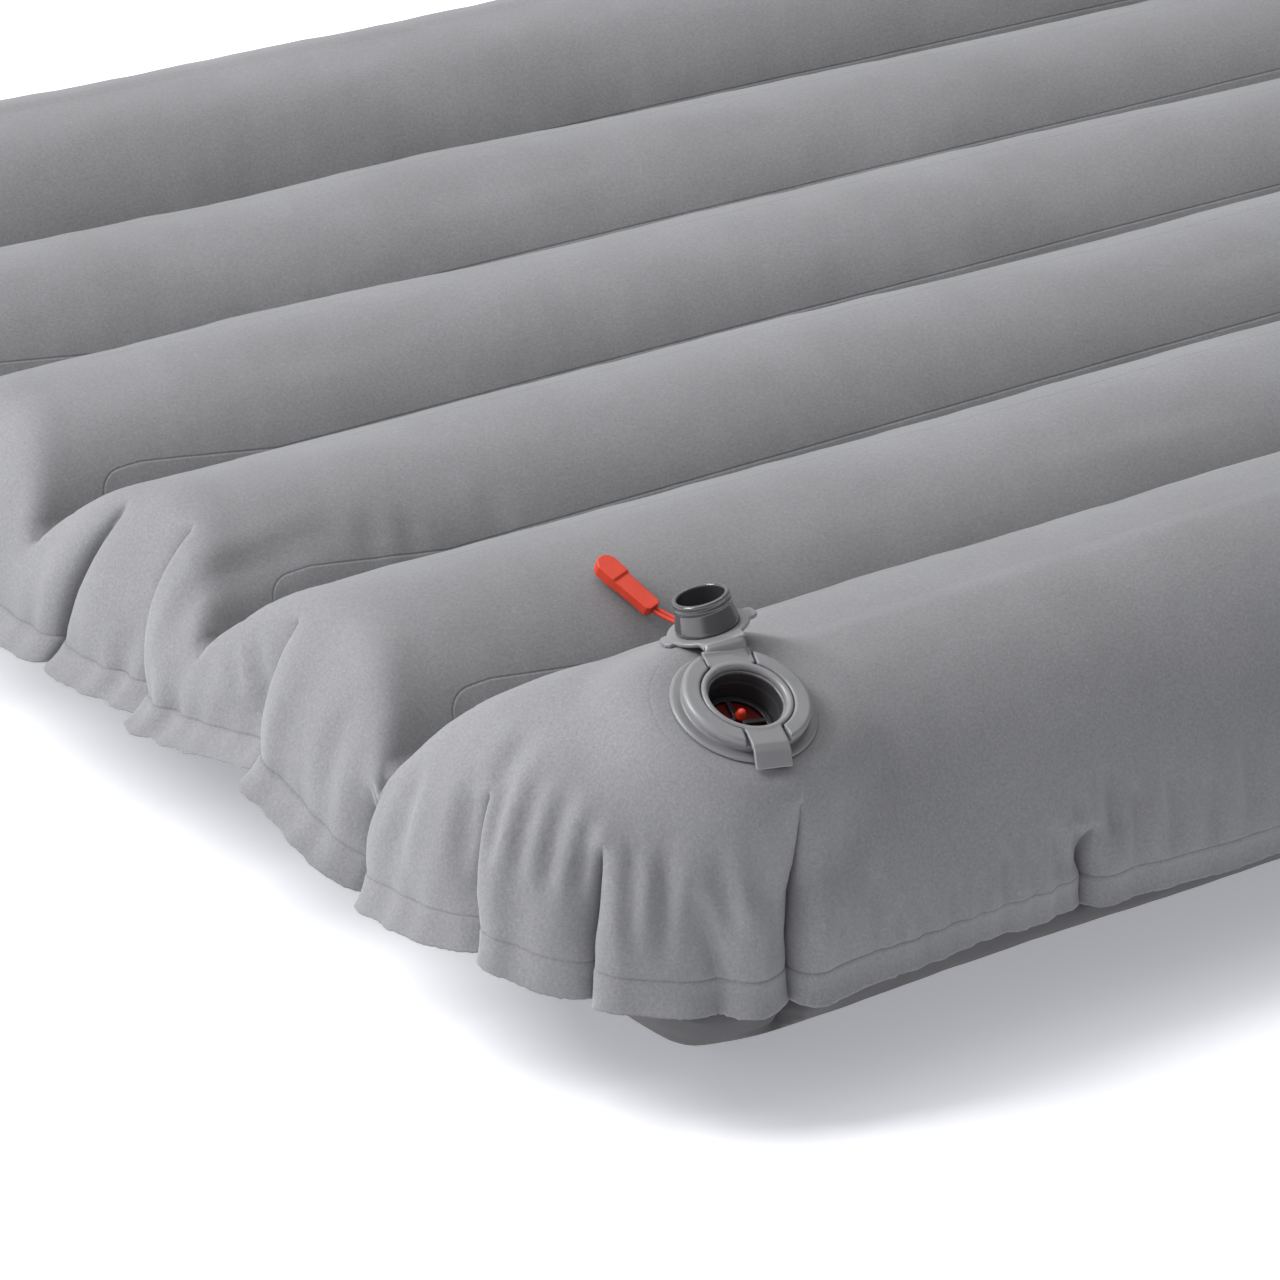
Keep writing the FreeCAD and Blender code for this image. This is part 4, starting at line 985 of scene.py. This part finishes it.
moulded("valve_base", "valve_base_flange", "pad", valve_mat, 0.00030, 4)
insert = moulded("valve_insert", "valve_insert_collar", "insert", valve_mat, 0.00028, 5)
ring = moulded("strap_ring", "strap_ring_and_tab", "insert", strap_mat, 0.00026, 6)
disc = moulded("cap_disc", "cap_disc_moulding", "cap", strap_mat, 0.00026, 6)
plug = moulded("cap_plug", "cap_plug_cup", "cap", plug_mat, 0.00022, 3)
flap = moulded("check_flap", "check_flap_red", "flap", red_mat, 0.00016, 3)
VC = VB * MM
VA = Vector(tuple(VN))


def split_faces(ob, second, test):
    """Give a second material to the faces whose place over the valve's axis passes the test."""
    ob.data.materials.append(second)
    inv_ = ob.matrix_world
    for f_ in ob.data.polygons:
        r_3 = inv_ @ f_.center - VC
        h_3 = r_3.dot(VA)
        if test((r_3 - VA * h_3).length / MM, h_3 / MM):
            f_.material_index = 1


# painted shade: the insert's faces inside the throat take the near-black shade material
split_faces(insert, throat_shade_mat, lambda r3, h3: r3 < 10.75 and h3 < 3.3)
# painted shade: the flap below its nub, deep in the hole, takes the darker red
split_faces(flap, flap_shade_red, lambda r3, h3: h3 < -3.6)
# painted shade: the check seat deep in the throat takes the same near-black shade material
seatp = moulded("check_seat", "check_seat_spokes", "insert", throat_shade_mat, 0.00020, 3)
for n, m_ in (("seal_ring", seal_mat), ("valve_patch", film_mat), ("rib_1", film_mat), ("rib_2", film_mat), ("rib_3", film_mat), ("rib_4", film_mat), ("rib_5", film_mat)):
    o = frame["nodes"][n]
    if o.data.materials:
        for i in range(len(o.data.materials)):
            o.data.materials[i] = m_
    else:
        o.data.materials.append(m_)

# ------------------------------------------------------------------ pull grip and its cord
grip = moulded("pull_grip", "pull_grip_orange", "insert", pull_mat, 0.00022, 5)

# the soft neck between the strap ring and the laid-back cap
TURN = Matrix.Rotation(math.radians(-11.0), 4, "Z")
VM = Matrix.Translation(VC) @ Matrix.Rotation(TILT, 4, "X") @ TURN
HINGE = next(j_ for j_ in frame["record"]["behaviour"]["joints"] if j_["name"] == "cap_hinge")
H_POS = Vector(HINGE["pos_m"])
OPEN_M = Matrix.Translation(H_POS) @ Matrix.Rotation(math.radians(-HINGE["range_deg"][1]), 4, Vector(HINGE["axis"])) @ Matrix.Translation(-H_POS)
CM = OPEN_M @ VM @ Matrix.Translation((0, 0, 5.75 * MM)) @ Matrix.Rotation(math.pi, 4, "X")


def neck_strip():
    a_ = [VM @ (Vector((0, y_, z_)) * MM) for y_, z_ in ((12.4, 4.40), (14.6, 4.45), (16.4, 4.95))]
    b_ = [CM @ (Vector((0, y_, z_)) * MM) for y_, z_ in ((-13.2, -0.95), (-11.6, -0.75), (-9.8, -0.75))]
    ctrl = a_ + b_
    # Catmull-Rom through the points
    pts_, n_ = [], len(ctrl)
    for k_ in range(n_ - 1):
        p0_, p1_, p2_, p3_ = (ctrl[max(0, min(n_ - 1, k_ + o_))] for o_ in (-1, 0, 1, 2))
        for t_ in np.arange(0, 1, 0.125):
            pts_.append(0.5 * ((2 * p1_) + (p2_ - p0_) * t_ + (2 * p0_ - 5 * p1_ + 4 * p2_ - p3_) * t_ ** 2 + (3 * p1_ - p0_ - 3 * p2_ + p3_) * t_ ** 3))
    pts_.append(ctrl[-1])
    xa = (VM.to_3x3() @ Vector((1, 0, 0))).normalized()
    xb = (CM.to_3x3() @ Vector((1, 0, 0))).normalized()
    if xa.dot(xb) < 0:
        xb = -xb
    ua = (VM.to_3x3() @ Vector((0, 0, 1))).normalized()
    vs, fs = [], []
    m_ = len(pts_)
    prof = []
    for w_ in np.linspace(-1, 1, 15):
        prof.append((w_, 1.0 - 0.35 * abs(w_) ** 8))
    ring_n = len(prof) * 2
    for k_, c_ in enumerate(pts_):
        f_ = k_ / (m_ - 1)
        side_ = (xa * (1 - f_) + xb * f_).normalized()
        tan_ = (pts_[min(m_ - 1, k_ + 1)] - pts_[max(0, k_ - 1)]).normalized()
        nrm = side_.cross(tan_).normalized()
        if nrm.dot(ua) < 0:
            nrm = -nrm
        half_ = (7.1 * (1 - f_) + 6.0 * f_ - 0.7 * math.sin(math.pi * f_)) * MM
        thick = (0.72 - 0.20 * math.exp(-((f_ - 0.42) / 0.035) ** 2) - 0.20 * math.exp(-((f_ - 0.60) / 0.035) ** 2)) * MM
        for sg in (1, -1):
            for w_, th_ in (prof if sg == 1 else prof[::-1]):
                vs.append(c_ + side_ * (w_ * half_) + nrm * (sg * th_ * thick))
    for k_ in range(m_ - 1):
        for i_ in range(ring_n):
            a0 = k_ * ring_n + i_
            a1 = k_ * ring_n + (i_ + 1) % ring_n
            fs.append((a0, a1, a1 + ring_n, a0 + ring_n))
    fs.append(tuple(range(ring_n))[::-1])
    fs.append(tuple(range((m_ - 1) * ring_n, m_ * ring_n)))
    ob = new_mesh("cap_neck_strip", vs, fs)
    bm_ = bmesh.new()
    bm_.from_mesh(ob.data)
    bmesh.ops.recalc_face_normals(bm_, faces=bm_.faces)
    bm_.to_mesh(ob.data)
    bm_.free()
    ob.data.materials.append(strap_mat)
    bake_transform(ob)
    return ob


neck_strip()

# the pull's two strands
for key, length, pieces, end_ in (("a", 0.0871, [grip], "fitting"), ("b", 0.0881, [], "object")):
    cu = bpy.data.curves.new("pull_cord_strand_" + key, "CURVE")
    cu.dimensions = "3D"
    cu.bevel_depth = 0.62 * MM
    cu.bevel_resolution = 4
    cu.resolution_u = 16
    cu.use_fill_caps = True
    sp_ = cu.splines.new("NURBS")
    pts_ = STRANDS[key]
    sp_.points.add(len(pts_) - 1)
    for q_, c_ in zip(sp_.points, pts_):
        q_.co = (c_[0] * MM, c_[1] * MM, c_[2] * MM, 1.0)
    sp_.order_u = 3
    sp_.use_endpoint_u = True
    ob = bpy.data.objects.new("pull_cord_strand_" + key, cu)
    scene.collection.objects.link(ob)
    cu.materials.append(braid_mat)
    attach(ob, "insert")
    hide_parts("pull_cord_" + key)

# ------------------------------------------------------------------ floor and light
floor = new_mesh("floor", [(-30, -30, 0), (30, -30, 0), (30, 30, 0), (-30, 30, 0)], [(0, 1, 2, 3)], False)
floor.data.materials.append(floor_mat)

world = bpy.data.worlds.new("world")
scene.world = world
world.use_nodes = True
bg = world.node_tree.nodes["Background"]
bg.inputs[0].default_value = (0.96, 0.97, 1.0, 1)
wt = world.node_tree
tc = wt.nodes.new("ShaderNodeTexCoord")
dp = wt.nodes.new("ShaderNodeVectorMath")
dp.operation = "DOT_PRODUCT"
dp.inputs[1].default_value = (-0.5, 0.6, 0.62)
wt.links.new(tc.outputs["Generated"], dp.inputs[0])
mr = wt.nodes.new("ShaderNodeMapRange")
mr.inputs["From Min"].default_value = -0.15
mr.inputs["From Max"].default_value = 0.90
mr.inputs["To Min"].default_value = 0.24
mr.inputs["To Max"].default_value = 0.92
wt.links.new(dp.outputs["Value"], mr.inputs["Value"])
wt.links.new(mr.outputs["Result"], bg.inputs[1])
scene.view_settings.view_transform = "Standard"


def area(name, loc, target, size, power, color=(1, 1, 1)):
    d = bpy.data.lights.new(name, "AREA")
    d.shape = "RECTANGLE"
    d.size, d.size_y = size
    d.energy = power
    d.color = color
    o = bpy.data.objects.new(name, d)
    scene.collection.objects.link(o)
    o.location = loc
    o.rotation_mode = "QUATERNION"
    o.rotation_quaternion = (Vector(target) - Vector(loc)).to_track_quat("-Z", "Y")
    return o


TGT = (-0.75, -0.15, 0.05)
area("key", (-3.3, 1.15, 2.8), TGT, (1.5, 1.5), 150)
area("top", (-0.6, 0.9, 3.0), TGT, (3.0, 1.6), 30)

bpy.context.view_layer.update()
